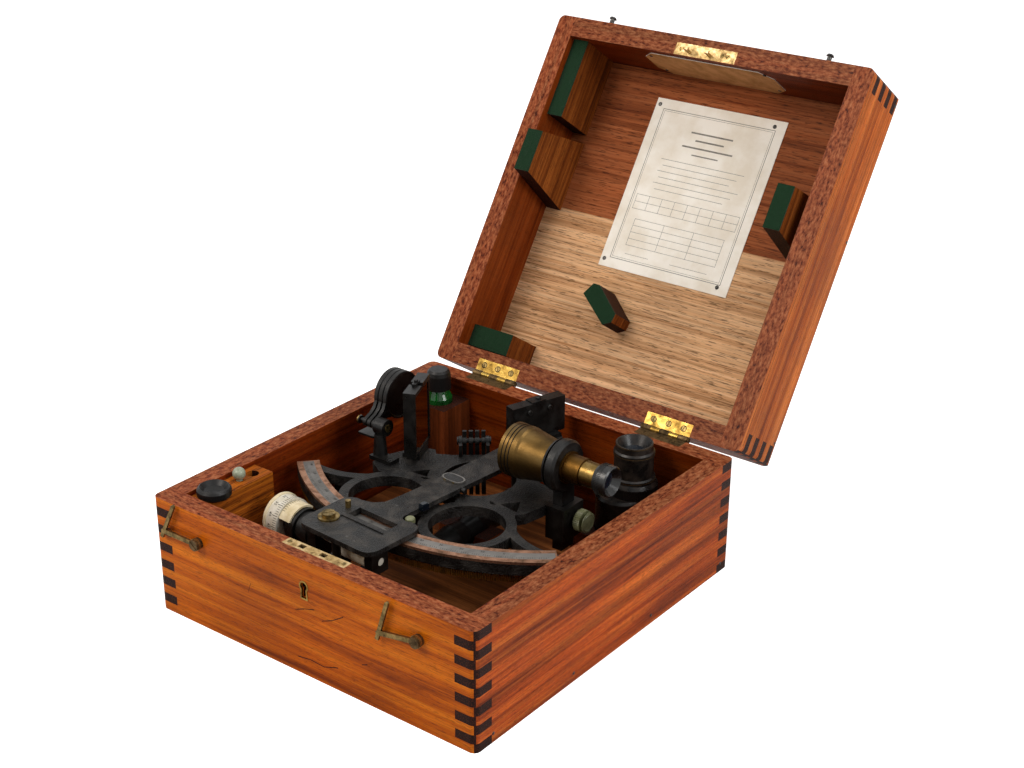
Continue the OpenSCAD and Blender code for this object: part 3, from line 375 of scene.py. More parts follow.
    def paint_inside_shade(self, tree: bpy.types.NodeTree, mm: Any, wood: Any,
                      blend: Callable[..., Any]) -> Any:
        """Paint shade on the faces inside the case, making them darker than the polished outside.

        Args:
            tree: The material's node tree.
            mm: Coordinates in millimetres.
            wood: The colour so far.
            blend: The colour mixer.

        Returns:
            The new colour.
        """
        place = put(tree, "ShaderNodeSeparateXYZ", None, {0: mm})
        wide = put(tree, "ShaderNodeMath", {"operation": "ABSOLUTE"}, {0: place.outputs[0]})
        deep = put(tree, "ShaderNodeMath", {"operation": "ABSOLUTE"}, {0: place.outputs[1]})
        in_x = reckon(tree, "LESS_THAN", wide.outputs[0], 124.1)
        in_y = reckon(tree, "LESS_THAN", deep.outputs[0], 130.6)
        both = reckon(tree, "MULTIPLY", in_x.outputs[0], in_y.outputs[0])
        amount = reckon(tree, "MULTIPLY", both.outputs[0], self.painted_inside_shade)
        # The brown of the painted shade, multiplied in.
        return blend("MULTIPLY", amount.outputs[0], wood, colour("#7a4a34"))


@dataclass(frozen=True)
class Metal:
    """Bare metal, lathe-turned or filed, with tarnish in patches and bright rubbed places."""

    name: str
    bright: str
    dull: str
    tarnish: str
    patch: float = 6.0
    rough: float = 0.32
    turned_along: int | None = None
    spots: float = 0.6
    black_past: tuple[int, float] | None = None
    other: tuple[int, float, str] | None = None

    def material(self) -> bpy.types.Material:
        """Build the metal with tarnish patches, dark spots and tool lines."""
        made, tree, shader = new_material(self.name)
        mm = place_mm(tree)
        cloud = put(tree, "ShaderNodeTexNoise", None, {
            "Vector": mm, "Scale": 1 / self.patch, "Detail": 6.0, "Roughness": 0.65, "Distortion": 0.4})
        tone = put(tree, "ShaderNodeValToRGB", {"stops": [
            (0.33, self.tarnish), (0.47, self.dull), (0.63, self.bright)]}, {0: cloud.outputs["Fac"]})
        dots = put(tree, "ShaderNodeTexNoise", None, {"Vector": mm, "Scale": 1.4, "Detail": 4.0})
        spotted = put(tree, "ShaderNodeValToRGB", {"stops": [(0.32, 0.35), (0.42, 1.0)]},
                      {0: dots.outputs["Fac"]})
        skin = put(tree, "ShaderNodeMix", {"data_type": "RGBA", "blend_type": "MULTIPLY"}, {
            0: self.spots, 6: tone.outputs[0], 7: spotted.outputs[0]})
        tint: Any = skin.outputs[2]
        if self.other is not None:
            axis, limit, code = self.other
            shifted = put(tree, "ShaderNodeMix", {"data_type": "RGBA", "blend_type": "MULTIPLY"}, {
                0: zone(tree, mm, axis, limit), 6: tint, 7: colour(code)})
            tint = shifted.outputs[2]
        if self.black_past is not None:
            hard = zone(tree, mm, *self.black_past)
            black = put(tree, "ShaderNodeMix", {"data_type": "RGBA"}, {
                0: hard, 6: tint, 7: colour("#131211")})
            tint = black.outputs[2]
            left = reckon(tree, "SUBTRACT", 1.0, hard)
            tree.links.new(left.outputs[0], shader.inputs["Metallic"])
        tree.links.new(tint, shader.inputs["Base Color"])
        shader.inputs["Metallic"].default_value = 1.0
        shine = put(tree, "ShaderNodeMapRange", None, {
            "Value": cloud.outputs["Fac"], "From Min": 0.3, "From Max": 0.7,
            "To Min": self.rough + 0.22, "To Max": self.rough - 0.06})
        tree.links.new(shine.outputs[0], shader.inputs["Roughness"])
        fine = [0.8, 0.8, 0.8]
        if self.turned_along is not None:
            fine = [0.02, 0.02, 0.02]
            fine[self.turned_along] = 2.4
        lines = put(tree, "ShaderNodeMapping", None, {"Vector": mm, "Scale": tuple(fine)})
        cut = put(tree, "ShaderNodeTexNoise", None, {
            "Vector": lines.outputs[0], "Scale": 1.0, "Detail": 3.0})
        bump = put(tree, "ShaderNodeBump", None, {
            "Strength": 0.25, "Distance": 0.00008, "Height": cut.outputs["Fac"]})
        tree.links.new(bump.outputs[0], shader.inputs["Normal"])
        return made


@dataclass(frozen=True)
class Enamel:
    """Black wrinkle enamel on cast metal: fine cells, satin, rubbed grey on raised grains."""

    name: str
    body: str
    rubbed: str
    cell: float = 0.55
    depth: float = 0.0006
    rough: float = 0.42
    rings_along: int | None = None

    def material(self) -> bpy.types.Material:
        """Build the wrinkled enamel."""
        made, tree, shader = new_material(self.name)
        mm = place_mm(tree)
        cells = put(tree, "ShaderNodeTexVoronoi", {"feature": "SMOOTH_F1"}, {
            "Vector": mm, "Scale": 1 / self.cell, "Smoothness": 0.5})
        cloud = put(tree, "ShaderNodeTexNoise", None, {
            "Vector": mm, "Scale": 0.09, "Detail": 6.0, "Roughness": 0.65})
        worn = put(tree, "ShaderNodeValToRGB", {"stops": [
            (0.45, self.body), (0.66, self.rubbed)]}, {0: cloud.outputs["Fac"]})
        tree.links.new(worn.outputs[0], shader.inputs["Base Color"])
        shine = put(tree, "ShaderNodeMapRange", None, {
            "Value": cloud.outputs["Fac"], "From Min": 0.35, "From Max": 0.65,
            "To Min": self.rough - 0.1, "To Max": self.rough + 0.12})
        tree.links.new(shine.outputs[0], shader.inputs["Roughness"])
        height: Any = cells.outputs["Distance"]
        if self.rings_along is not None:
            fine = [0.02, 0.02, 0.02]
            fine[self.rings_along] = 1.3
            turned = put(tree, "ShaderNodeMapping", None, {"Vector": mm, "Scale": tuple(fine)})
            height = put(tree, "ShaderNodeTexNoise", None, {
                "Vector": turned.outputs[0], "Scale": 1.0, "Detail": 3.0}).outputs["Fac"]
        bump = put(tree, "ShaderNodeBump", {"invert": True}, {
            "Strength": 0.9, "Distance": self.depth, "Height": height})
        tree.links.new(bump.outputs[0], shader.inputs["Normal"])
        shader.inputs["Specular IOR Level"].default_value = 0.26
        return made


@dataclass(frozen=True)
class Moulded:
    """A dense smooth stuff such as celluloid, hard rubber, paper or dark glass."""

    name: str
    body: str
    shadow: str
    rough: float = 0.35
    grain: float = 3.0
    metallic: float = 0.0
    see_through: float = 0.0
    relief: float = 0.00003
    specular: float = 0.35

    def material(self) -> bpy.types.Material:
        """Build the stuff with slight unevenness in its colour and gloss."""
        made, tree, shader = new_material(self.name)
        mm = place_mm(tree)
        cloud = put(tree, "ShaderNodeTexNoise", None, {
            "Vector": mm, "Scale": 1 / self.grain, "Detail": 5.0, "Roughness": 0.6})
        tone = put(tree, "ShaderNodeValToRGB", {"stops": [
            (0.35, self.shadow), (0.6, self.body)]}, {0: cloud.outputs["Fac"]})
        tint = tone.outputs[0]
        tree.links.new(tint, shader.inputs["Base Color"])
        shine = put(tree, "ShaderNodeMapRange", None, {
            "Value": cloud.outputs["Fac"], "From Min": 0.3, "From Max": 0.7,
            "To Min": self.rough + 0.06, "To Max": self.rough - 0.04})
        tree.links.new(shine.outputs[0], shader.inputs["Roughness"])
        bump = put(tree, "ShaderNodeBump", None, {
            "Strength": 0.3, "Distance": self.relief, "Height": cloud.outputs["Fac"]})
        tree.links.new(bump.outputs[0], shader.inputs["Normal"])
        shader.inputs["Metallic"].default_value = self.metallic
        shader.inputs["Transmission Weight"].default_value = self.see_through
        shader.inputs["IOR"].default_value = 1.5
        shader.inputs["Specular IOR Level"].default_value = self.specular
        return made


@dataclass(frozen=True)
class Felt:
    """Woollen baize: a dense short nap with lint and flattened places."""

    name: str
    body: str
    tip: str

    def material(self) -> bpy.types.Material:
        """Build the baize."""
        made, tree, shader = new_material(self.name)
        mm = place_mm(tree)
        nap = put(tree, "ShaderNodeTexNoise", None, {
            "Vector": mm, "Scale": 2.4, "Detail": 5.0, "Roughness": 0.75})
        tone = put(tree, "ShaderNodeValToRGB", {"stops": [
            (0.35, self.body), (0.68, self.tip)]}, {0: nap.outputs["Fac"]})
        tree.links.new(tone.outputs[0], shader.inputs["Base Color"])
        bump = put(tree, "ShaderNodeBump", None, {
            "Strength": 0.9, "Distance": 0.0005, "Height": nap.outputs["Fac"]})
        tree.links.new(bump.outputs[0], shader.inputs["Normal"])
        shader.inputs["Roughness"].default_value = 0.95
        shader.inputs["Specular IOR Level"].default_value = 0.1
        shader.inputs["Sheen Weight"].default_value = 0.12
        shader.inputs["Sheen Roughness"].default_value = 0.5
        return made


def dress(nodes: dict[str, bpy.types.Object], names: Iterable[str], made: bpy.types.Material) -> None:
    """Give one material to several CAD nodes.

    Args:
        nodes: The CAD nodes by name.
        names: The nodes to dress.
        made: Their material.
    """
    for name in names:
        mesh = nodes[name].data
        if not mesh.materials:
            mesh.materials.append(made)
        for i in range(len(mesh.materials)):
            mesh.materials[i] = made


def piece(name: str, work: bmesh.types.BMesh, made: bpy.types.Material, body: Body | str,
          smooth: bool = True) -> bpy.types.Object:
    """Turn a mesh in metres into an object that rides on a body.

    Args:
        name: The object's name.
        work: The mesh, which is freed.
        made: Its material.
        body: The body that it moves with.
        smooth: Whether its faces are shaded smooth where they meet at a low angle.

    Returns:
        The new object.
    """
    mesh = bpy.data.meshes.new(name)
    bmesh.ops.recalc_face_normals(work, faces=work.faces)
    work.to_mesh(mesh)
    work.free()
    mesh.materials.append(made)
    if smooth:
        mesh.shade_smooth()
        mesh.set_sharp_from_angle(angle=math.radians(32))
    made_object = bpy.data.objects.new(name, mesh)
    bpy.context.scene.collection.objects.link(made_object)
    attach(made_object, body.value if isinstance(body, Body) else body)
    LOG.info("%s: %d faces, on %s", name, len(mesh.polygons), body)
    return made_object


def shut_to_open() -> Matrix:
    """Give the turn that takes what is drawn on the shut lid to where the open lid holds it."""
    hinge = Matrix.Translation(Vector((0, HINGE_Y, HINGE_Z)) * MM)
    return hinge @ Matrix.Rotation(-math.radians(OPEN_DEG), 4, "X") @ hinge.inverted()


def at_pivot(turn: float = 0.0, z: float = 0.0) -> Matrix:
    """Give the place of the sextant's pivot, turned about it by some degrees."""
    return Matrix.Translation(Vector((0, PIVOT_Y, z)) * MM) @ Matrix.Rotation(math.radians(turn), 4, "Z")


def lathe(work: bmesh.types.BMesh, profile: Sequence[Point], place: Matrix, steps: int = 64) -> None:
    """Turn a profile about the local Z axis.

    Args:
        work: The mesh that gets the faces.
        profile: Radius and height in millimetres, from one end on the axis to the other.
        place: Where the local frame stands, in metres.
        steps: The number of parts round the axis.
    """
    rings: list[list[bmesh.types.BMVert]] = []
    for r, z in profile:
        if r < 1e-6:
            rings.append([work.verts.new(place @ Vector((0, 0, z * MM)))])
            continue
        rings.append([work.verts.new(place @ Vector((
            r * MM * math.cos(2 * math.pi * i / steps), r * MM * math.sin(2 * math.pi * i / steps),
            z * MM))) for i in range(steps)])
    for low, high in zip(rings, rings[1:]):
        for i in range(steps):
            j = (i + 1) % steps
            if len(low) == 1 and len(high) == 1:
                continue
            if len(low) == 1:
                work.faces.new((low[0], high[j], high[i]))
            elif len(high) == 1:
                work.faces.new((low[i], low[j], high[0]))
            else:
                work.faces.new((low[i], low[j], high[j], high[i]))


def slab(work: bmesh.types.BMesh, outline: Sequence[Point], z0: float, z1: float, place: Matrix) -> None:
    """Raise a flat outline between two heights.

    Args:
        work: The mesh that gets the faces.
        outline: Corner points in millimetres.
        z0: The lower height.
        z1: The upper height.
        place: Where the local frame stands, in metres.
    """
    low = [work.verts.new(place @ (Vector((x, y, z0)) * MM)) for x, y in outline]
    high = [work.verts.new(place @ (Vector((x, y, z1)) * MM)) for x, y in outline]
    work.faces.new(list(reversed(low)))
    work.faces.new(high)
    for i in range(len(low)):
        j = (i + 1) % len(low)
        work.faces.new((low[i], low[j], high[j], high[i]))


def rectangle(x0: float, y0: float, x1: float, y1: float) -> list[Point]:
    """Give a rectangle's four corners."""
    return [(x0, y0), (x1, y0), (x1, y1), (x0, y1)]


def dome(work: bmesh.types.BMesh, r: float, h: float, place: Matrix, steps: int = 20) -> None:
    """Add a round nail or tack head, flat side down.

    Args:
        work: The mesh that gets the faces.
        r: Its radius in millimetres.
        h: Its height.
        place: Where its flat side stands, in metres.
        steps: The number of parts round it.
    """
    profile = [(0.0, -0.3), (r * 0.9, -0.3), (r, 0.0)]
    profile += [(r * math.cos(a), h * math.sin(a)) for a in (0.35, 0.7, 1.05, 1.35)]
    lathe(work, profile + [(0.0, h)], place, steps)


class TreeInput(Enum):
    """The kinds of input that a geometry tree's sizes come through."""

    LENGTH = "NodeSocketFloat"
    COUNT = "NodeSocketInt"
    STUFF = "NodeSocketMaterial"


class Repeat:
    """A Geometry Nodes tree that repeats one small form, with named inputs for its sizes."""

    def __init__(self, name: str, sizes: dict[str, tuple[TreeInput, Any]]) -> None:
        """Start the tree.

        Args:
            name: The tree's name.
            sizes: Each input's name, kind and value.
        """
        self.name = name
        self.sizes = sizes
        self.tree = bpy.data.node_groups.new(name, "GeometryNodeTree")
        self.keys: dict[str, str] = {}
        for label, (kind, _) in sizes.items():
            socket = self.tree.interface.new_socket(label, in_out="INPUT", socket_type=kind.value)
            self.keys[label] = socket.identifier
        self.tree.interface.new_socket("Geometry", in_out="OUTPUT", socket_type="NodeSocketGeometry")
        self.given = put(self.tree, "NodeGroupInput")

    def value(self, label: str) -> bpy.types.NodeSocket:
        """Give the socket of one named input."""
        return self.given.outputs[label]

    def math(self, operation: str, a: Any, b: Any = 0.0) -> bpy.types.NodeSocket:
        """Combine two numbers."""
        return put(self.tree, "ShaderNodeMath", {"operation": operation}, {0: a, 1: b}).outputs[0]

    def mesh(self, result: bpy.types.NodeSocket, name: str) -> bpy.types.Mesh:
        """Realize the instances, set the material, and turn the result into a plain mesh.

        Args:
            result: The geometry to end with.
            name: The new mesh's name.

        Returns:
            The plain mesh.
        """
        real = put(self.tree, "GeometryNodeRealizeInstances", None, {0: result})
        dressed = put(self.tree, "GeometryNodeSetMaterial", None, {
            "Geometry": real.outputs[0], "Material": self.value("Finish")})
        put(self.tree, "NodeGroupOutput", None, {0: dressed.outputs[0]})
        holder = bpy.data.objects.new(name + "_holder", bpy.data.meshes.new(name + "_holder"))
        bpy.context.scene.collection.objects.link(holder)
        modifier = holder.modifiers.new(self.name, "NODES")
        modifier.node_group = self.tree
        for label, (_, value) in self.sizes.items():
            modifier[self.keys[label]] = value
        ready = holder.evaluated_get(bpy.context.evaluated_depsgraph_get())
        made = bpy.data.meshes.new_from_object(ready)
        holder.modifiers.remove(modifier)
        bpy.data.objects.remove(holder)
        made.name = name
        return made


def spread_round(name: str, place: Matrix, finish: bpy.types.Material, count: int, radius: float,
                 start: float, step: float, size: Vec, every: int = 0, long: float = 0.0) -> bpy.types.Mesh:
    """Repeat a small bar round an axis with Geometry Nodes, and make every so many of them longer.

    Args:
        name: The mesh's name.
        place: Where the local frame stands, in metres.
        finish: The bars' material.
        count: How many bars there are.
        radius: The radius of the bars' middles, in millimetres.
        start: The first bar's angle in degrees.
        step: The angle from bar to bar in degrees.
        size: Each bar's length along the radius, width round the axis, and height, in millimetres.
        every: Which bars are longer, counted from the first, or 0 for none.
        long: How much longer those are along the radius, in millimetres.

    Returns:
        A plain mesh in place.
    """
    ring = Repeat(name + "_tree", {
        "Count": (TreeInput.COUNT, count), "Radius": (TreeInput.LENGTH, radius * MM),
        "Start": (TreeInput.LENGTH, math.radians(start)), "Step": (TreeInput.LENGTH, math.radians(step)),
        "Bar length": (TreeInput.LENGTH, size[0] * MM), "Bar width": (TreeInput.LENGTH, size[1] * MM),
        "Bar height": (TreeInput.LENGTH, size[2] * MM), "Every": (TreeInput.COUNT, max(every, 1)),
        "Extra": (TreeInput.LENGTH, long * MM), "Finish": (TreeInput.STUFF, finish)})
    tree = ring.tree
    place_of = put(tree, "GeometryNodeInputIndex").outputs[0]
    angle = ring.math("ADD", ring.value("Start"), ring.math("MULTIPLY", place_of, ring.value("Step")))
    left = ring.math("MODULO", place_of, ring.value("Every"))
    is_long = ring.math("LESS_THAN", left, 0.5)
    extra = ring.math("MULTIPLY", is_long, ring.value("Extra"))
    reach = ring.math("ADD", ring.value("Radius"), ring.math("MULTIPLY", extra, 0.5))
    spot = put(tree, "ShaderNodeCombineXYZ", None, {
        0: ring.math("MULTIPLY", reach, ring.math("COSINE", angle)),
        1: ring.math("MULTIPLY", reach, ring.math("SINE", angle))})
    dots = put(tree, "GeometryNodePoints", None, {"Count": ring.value("Count"), "Position": spot.outputs[0]})
    box = put(tree, "ShaderNodeCombineXYZ", None, {
        0: ring.value("Bar length"), 1: ring.value("Bar width"), 2: ring.value("Bar height")})
    bar = put(tree, "GeometryNodeMeshCube", None, {"Size": box.outputs[0]})
    turn = put(tree, "ShaderNodeCombineXYZ", None, {2: angle})
    spin = put(tree, "FunctionNodeEulerToRotation", None, {0: turn.outputs[0]})
    grow = ring.math("ADD", ring.math("DIVIDE", extra, ring.value("Bar length")), 1.0)
    scale = put(tree, "ShaderNodeCombineXYZ", None, {0: grow, 1: 1.0, 2: 1.0})
    copies = put(tree, "GeometryNodeInstanceOnPoints", None, {
        "Points": dots.outputs[0], "Instance": bar.outputs["Mesh"],
        "Rotation": spin.outputs[0], "Scale": scale.outputs[0]})
    made = ring.mesh(copies.outputs[0], name)
    made.transform(place)
    return made


def plain_object(name: str, mesh: bpy.types.Mesh, body: Body) -> bpy.types.Object:
    """Link a finished mesh as an object that rides on a body.

    Args:
        name: The object's name.
        mesh: Its mesh, already in place.
        body: The body that it moves with.

    Returns:
        The new object.
    """
    made = bpy.data.objects.new(name, mesh)
    bpy.context.scene.collection.objects.link(made)
    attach(made, body.value)
    LOG.info("%s: %d faces, on %s", name, len(mesh.polygons), body.value)
    return made


def figures(name: str, marks: Sequence[tuple[str, Matrix]], height: float, thick: float,
            finish: bpy.types.Material, body: Body) -> bpy.types.Object:
    """Set generic dial numbers as thin raised figures.

    Args:
        name: The object's name.
        marks: Each number's text and place. The local X axis runs along the text, Z out of the face.
        height: The figures' height in millimetres.
        thick: How far they stand out.
        finish: Their material.
        body: The body that they move with.

    Returns:
        One object with all the figures.
    """
    work = bmesh.new()
    for text, place in marks:
        curve = bpy.data.curves.new(name + text, "FONT")
        curve.body = text
        curve.size = height * MM
        curve.align_x = "CENTER"
        curve.align_y = "CENTER"
        curve.resolution_u = 2
        curve.extrude = thick * MM
        holder = bpy.data.objects.new(name + text, curve)
        bpy.context.scene.collection.objects.link(holder)
        bpy.context.view_layer.update()
        mesh = bpy.data.meshes.new_from_object(
            holder.evaluated_get(bpy.context.evaluated_depsgraph_get()))
        bpy.data.objects.remove(holder)
        mesh.transform(place)
        work.from_mesh(mesh)
        bpy.data.meshes.remove(mesh)
    return piece(name, work, finish, body, smooth=False)


def turned_piece(name: str, profile: Sequence[Point], place: Matrix, made: bpy.types.Material,
                 body: Body | str, steps: int = 64) -> bpy.types.Object:
    """Turn one profile and make it a piece of its own: see lathe and piece."""
    work = bmesh.new()
    lathe(work, profile, place, steps)
    return piece(name, work, made, body)


def spread_piece(body: Body, name: str, *sizes: Any, **more: Any) -> bpy.types.Object:
    """Spread one form round an axis and make the result a piece of its own: see spread_round."""
    return plain_object(name, spread_round(name, *sizes, **more), body)


def turn_about(axis: str, degrees: float) -> Matrix:
    """Give a turn about one axis."""
    return Matrix.Rotation(math.radians(degrees), 4, axis)


def shift(x: float, y: float, z: float) -> Matrix:
    """Give a move in millimetres."""
    return Matrix.Translation(Vector((x, y, z)) * MM)


def fixed(name: str, form: bpy.types.Mesh, spots: Sequence[Matrix], finish: bpy.types.Material,
          body: Body) -> bpy.types.Object:
    """Repeat a screw, nail or ring at given places with Geometry Nodes.

    Args:
        name: The new object's name.
        form: One of them, standing on its own origin along Z. It is removed at the end.
        spots: Where each one stands and how it is turned, in metres.
        finish: Their material.
        body: The body that they move with.

    Returns:
        One object with all of them.
    """
    pattern = bpy.data.objects.new(name + "_form", form)
    bpy.context.scene.collection.objects.link(pattern)
    tree = bpy.data.node_groups.new(name + "_tree", "GeometryNodeTree")
    keys = {}
    for label, kind in (("Points", "NodeSocketGeometry"), ("Form", "NodeSocketObject"),
                        ("Size", "NodeSocketFloat"), ("Finish", "NodeSocketMaterial")):
        keys[label] = tree.interface.new_socket(label, in_out="INPUT", socket_type=kind).identifier
    tree.interface.new_socket("Geometry", in_out="OUTPUT", socket_type="NodeSocketGeometry")
    given = put(tree, "NodeGroupInput")
    shape = put(tree, "GeometryNodeObjectInfo", None, {"Object": given.outputs["Form"]})
    turned = put(tree, "GeometryNodeInputNamedAttribute", {"data_type": "FLOAT_VECTOR"}, {"Name": "turn"})
    spin = put(tree, "FunctionNodeEulerToRotation", None, {0: turned.outputs[0]})
    copies = put(tree, "GeometryNodeInstanceOnPoints", None, {
        "Points": given.outputs["Points"], "Instance": shape.outputs["Geometry"],
        "Rotation": spin.outputs[0], "Scale": given.outputs["Size"]})
    real = put(tree, "GeometryNodeRealizeInstances", None, {0: copies.outputs[0]})
    dressed = put(tree, "GeometryNodeSetMaterial", None, {
        "Geometry": real.outputs[0], "Material": given.outputs["Finish"]})
    put(tree, "NodeGroupOutput", None, {0: dressed.outputs[0]})
    dots = bpy.data.meshes.new(name + "_dots")
    dots.from_pydata([tuple(spot.translation) for spot in spots], [], [])
    turns = dots.attributes.new("turn", "FLOAT_VECTOR", "POINT")
    for i, spot in enumerate(spots):
        turns.data[i].vector = spot.to_euler("XYZ")
    holder = bpy.data.objects.new(name + "_holder", dots)
    bpy.context.scene.collection.objects.link(holder)
    modifier = holder.modifiers.new(name, "NODES")
    modifier.node_group = tree
    modifier[keys["Form"]] = pattern
    modifier[keys["Size"]] = 1.0
    modifier[keys["Finish"]] = finish
    ready = holder.evaluated_get(bpy.context.evaluated_depsgraph_get())
    made = bpy.data.meshes.new_from_object(ready)
    holder.modifiers.remove(modifier)
    bpy.data.objects.remove(holder)
    bpy.data.objects.remove(pattern)
    made.name = name
    made.shade_smooth()
    made.set_sharp_from_angle(angle=math.radians(32))
    return plain_object(name, made, body)


def form_of(name: str, build: Callable[[bmesh.types.BMesh], None]) -> bpy.types.Mesh:
    """Build one small mesh with a function that fills it."""
    work = bmesh.new()
    build(work)
    bmesh.ops.recalc_face_normals(work, faces=work.faces)
    mesh = bpy.data.meshes.new(name)
    work.to_mesh(mesh)
    work.free()
    return mesh


def sector(work: bmesh.types.BMesh, r: Point, angles: Point, z: Point, place: Matrix, steps: int) -> None:
    """Add a flat ring sector. Angles are measured from straight forward, positive to the right.

    Args:
        work: The mesh that gets the faces.
        r: The inner and outer radius in millimetres.
        angles: The first and last angle in degrees.
        z: The lower and upper height in millimetres.
        place: Where the local frame stands, in metres.
        steps: The number of parts along it.
    """
    turns = [math.radians(angles[0] + (angles[1] - angles[0]) * i / steps) for i in range(steps + 1)]
    outline = [(r[0] * math.sin(a), -r[0] * math.cos(a)) for a in turns]
    outline += [(r[1] * math.sin(a), -r[1] * math.cos(a)) for a in reversed(turns)]
    rows = [[work.verts.new(place @ (Vector((x, y, h)) * MM)) for x, y in outline] for h in z]
    n = len(outline)
    for i in range(n):
        j = (i + 1) % n
        work.faces.new((rows[0][i], rows[0][j], rows[1][j], rows[1][i]))
    for i in range(steps):
        work.faces.new((rows[1][i], rows[1][i + 1], rows[1][n - 2 - i], rows[1][n - 1 - i]))
        work.faces.new((rows[0][i + 1], rows[0][i], rows[0][n - 1 - i], rows[0][n - 2 - i]))


def slotted(work: bmesh.types.BMesh, r: float, h: float) -> None:
    """Add a round screw head, cut in two halves by its slot, on a disc that closes the slot below."""
    for side in (0, math.pi):
        outline = [(r * math.cos(side + 0.18 + i * (math.pi - 0.36) / 12),
                    r * math.sin(side + 0.18 + i * (math.pi - 0.36) / 12)) for i in range(13)]
        slab(work, outline, 0.0, h, Matrix.Identity(4))
    lathe(work, [(0, -0.2), (r, -0.2), (r, h * 0.45), (0, h * 0.45)], Matrix.Identity(4), 24)


class Finishes:
    """Every finish of the object, built once."""

    def __init__(self) -> None:
        """Build the materials."""
        self.woods()
        self.metals()
        self.others()

    def woods(self) -> None:
        """Oiled and varnished mahogany boards, an open-pored ply panel, and rough blocks."""
        # The walls' inside faces get painted shade; the worn rim is the wood's own wear.
        inside = {"worn_rim": True, "painted_inside_shade": 0.75}
        # Varnished mahogany, planed along the grain: warm orange with long brown streaks
        self.front = Timber("polished_mahogany_front", "#e07a14", "#c25c06", "#7e3204", Grain.ALONG_X,
                            band=9.0, seed=0.2, **inside).material()
        # The same wood, less handled: plainer and browner
        self.back = Timber("polished_mahogany_back", "#cc6a20", "#b2520f", "#7c300a", Grain.ALONG_X,
                           seed=0.7, **inside).material()
        # Ribbon-cut mahogany: lighter and darker bands along the board
        self.side = Timber("ribbon_mahogany_side", "#e2742a", "#c4541a", "#7c2e0c", Grain.ALONG_Y,
                           band=5.0, seed=1.3, ribbon=0.75, **inside).material()
        # Mahogany from a darker board
        self.lid_front = Timber("lid_mahogany_front", "#b9581f", "#9c4212", "#6b260a", Grain.ALONG_X,
                                lid=True, seed=2.1, **inside).material()
        # Ribbon-cut again, and paler
        self.lid_side = Timber("lid_mahogany_side", "#e8823a", "#cc6420", "#8e3c0e", Grain.ALONG_Y,
                               lid=True, band=5.0, seed=2.9, ribbon=0.35, **inside).material()
        # Unvarnished mahogany with no shine, its brown darkened below the walls' as painted shade under the
        # instrument
        self.floor = Timber("dull_mahogany_floor_painted_shade", "#8c5228", "#6b3a18", "#47220c", Grain.ALONG_X,
                            varnish=0.0, rough=0.6, seed=3.3).material()
        # Rough cedar: strong open streaks, no shine
        self.block = Timber("rough_cedar_block", "#c8701e", "#a45416", "#5a2808", Grain.ALONG_Y,
                            varnish=0.0, rough=0.6, pore=0.9, band=3.0, seed=4.1, contrast=0.85,
                            coarse=1.8).material()
        # Stained block: nearly even red-brown
        self.dark_block = Timber("stained_block", "#83401f", "#663014", "#3c1a0a", Grain.UPRIGHT,
                                 varnish=0.1, rough=0.5, seed=4.9).material()
        # Unvarnished offcuts with open pores
        self.pad_block = Timber("lid_pad_block", "#a05a24", "#7d3f14", "#48220a", Grain.ALONG_Y, lid=True,
                                varnish=0.0, rough=0.6, pore=0.8, band=4.0, seed=5.3).material()
        # Open-pored ply: short dark strokes on a pale ground, its front half darker
        self.veneer = Timber("open_pored_ply", "#f4c698", "#dca878", "#a8744a", Grain.ALONG_X, lid=True,
                             varnish=0.0, rough=0.62, pore=0.85, band=3.2, seed=6.1, halves=-4.0,
                             contrast=0.7, coarse=2.0).material()

    def metals(self) -> None:
        """Brass in several states, copper, silver, steel and wrinkle enamel."""
        # Brass left to age: dull olive with darker patches
        self.brass = Metal("aged_brass", "#9a8150", "#72603a", "#3f3320", rough=0.38).material()
        # Hinge brass gone brown
        self.dark_brass = Metal("tarnished_hinge_brass", "#6f5a3c", "#54432c", "#33281a",
                                rough=0.5).material()
        # Brass that hands rub: clear yellow with few spots
        self.bright = Metal("rubbed_brass", "#b0924c", "#937436", "#644c22", rough=0.26,
                            spots=0.4).material()
        # Flat filed brass, tanned pale
        self.plate = Metal("tanned_brass_plate", "#d2b688", "#b09462", "#78603c", rough=0.45).material()
        # Turned and lacquered brass: fine rings and a broad soft highlight
        self.scope = Metal("lacquered_brass_turned", "#715a36", "#5b4524", "#42321a", patch=40.0,
                           rough=0.3, turned_along=0, spots=0.15, other=(0, 66.0, "#f4e2c0")).material()
        # Brass polished by sliding. The eyecup beyond it is black.
        self.tube = Metal("rubbed_tube_brass", "#94794a", "#745c30", "#503f22", patch=14.0, rough=0.22,
                          turned_along=0, spots=0.25, black_past=(0, 98.0)).material()
        # Tarnished copper alloy: pinkish brown
        self.copper = Metal("tarnished_copper_strip", "#ab8168", "#8a6650", "#5e4636", rough=0.42).material()
        # The toothed strip: golden brown
        self.rack = Metal("gilt_rack_brass", "#a97c34", "#86602a", "#4f3a1c", rough=0.4).material()
        # Dull inlaid silver: a mid grey
        self.silver = Metal("silver_inlay", "#8c8883", "#777470", "#605d59", patch=30.0,
                            rough=0.42, spots=0.1).material()
        # Blued screw steel, almost black
        self.steel = Metal("blued_screw_steel", "#5c5a57", "#403e3c", "#262524", patch=3.0).material()
        # Wrinkle enamel on the casting: black grains that catch small lights
        self.crackle = Enamel("black_wrinkle_enamel", "#0e0d0c", "#2c2926", cell=1.1).material()
        # The same enamel, rubbed grey by use
        self.arm = Enamel("worn_wrinkle_enamel", "#141312", "#3c3834", rough=0.42, cell=1.0).material()
        # Sprayed satin black: almost smooth
        self.satin = Enamel("satin_black_enamel", "#0b0a09", "#1a1816", cell=0.5, depth=0.00008,
                            rough=0.36).material()
        # Black enamel on turned tubes: fine rings
        self.turned = Enamel("turned_black_enamel", "#12100f", "#2e2620", depth=0.0001, rough=0.32,
                             rings_along=2).material()

    def others(self) -> None:
        """Celluloid, rubber, paper, glass, ink and baize."""
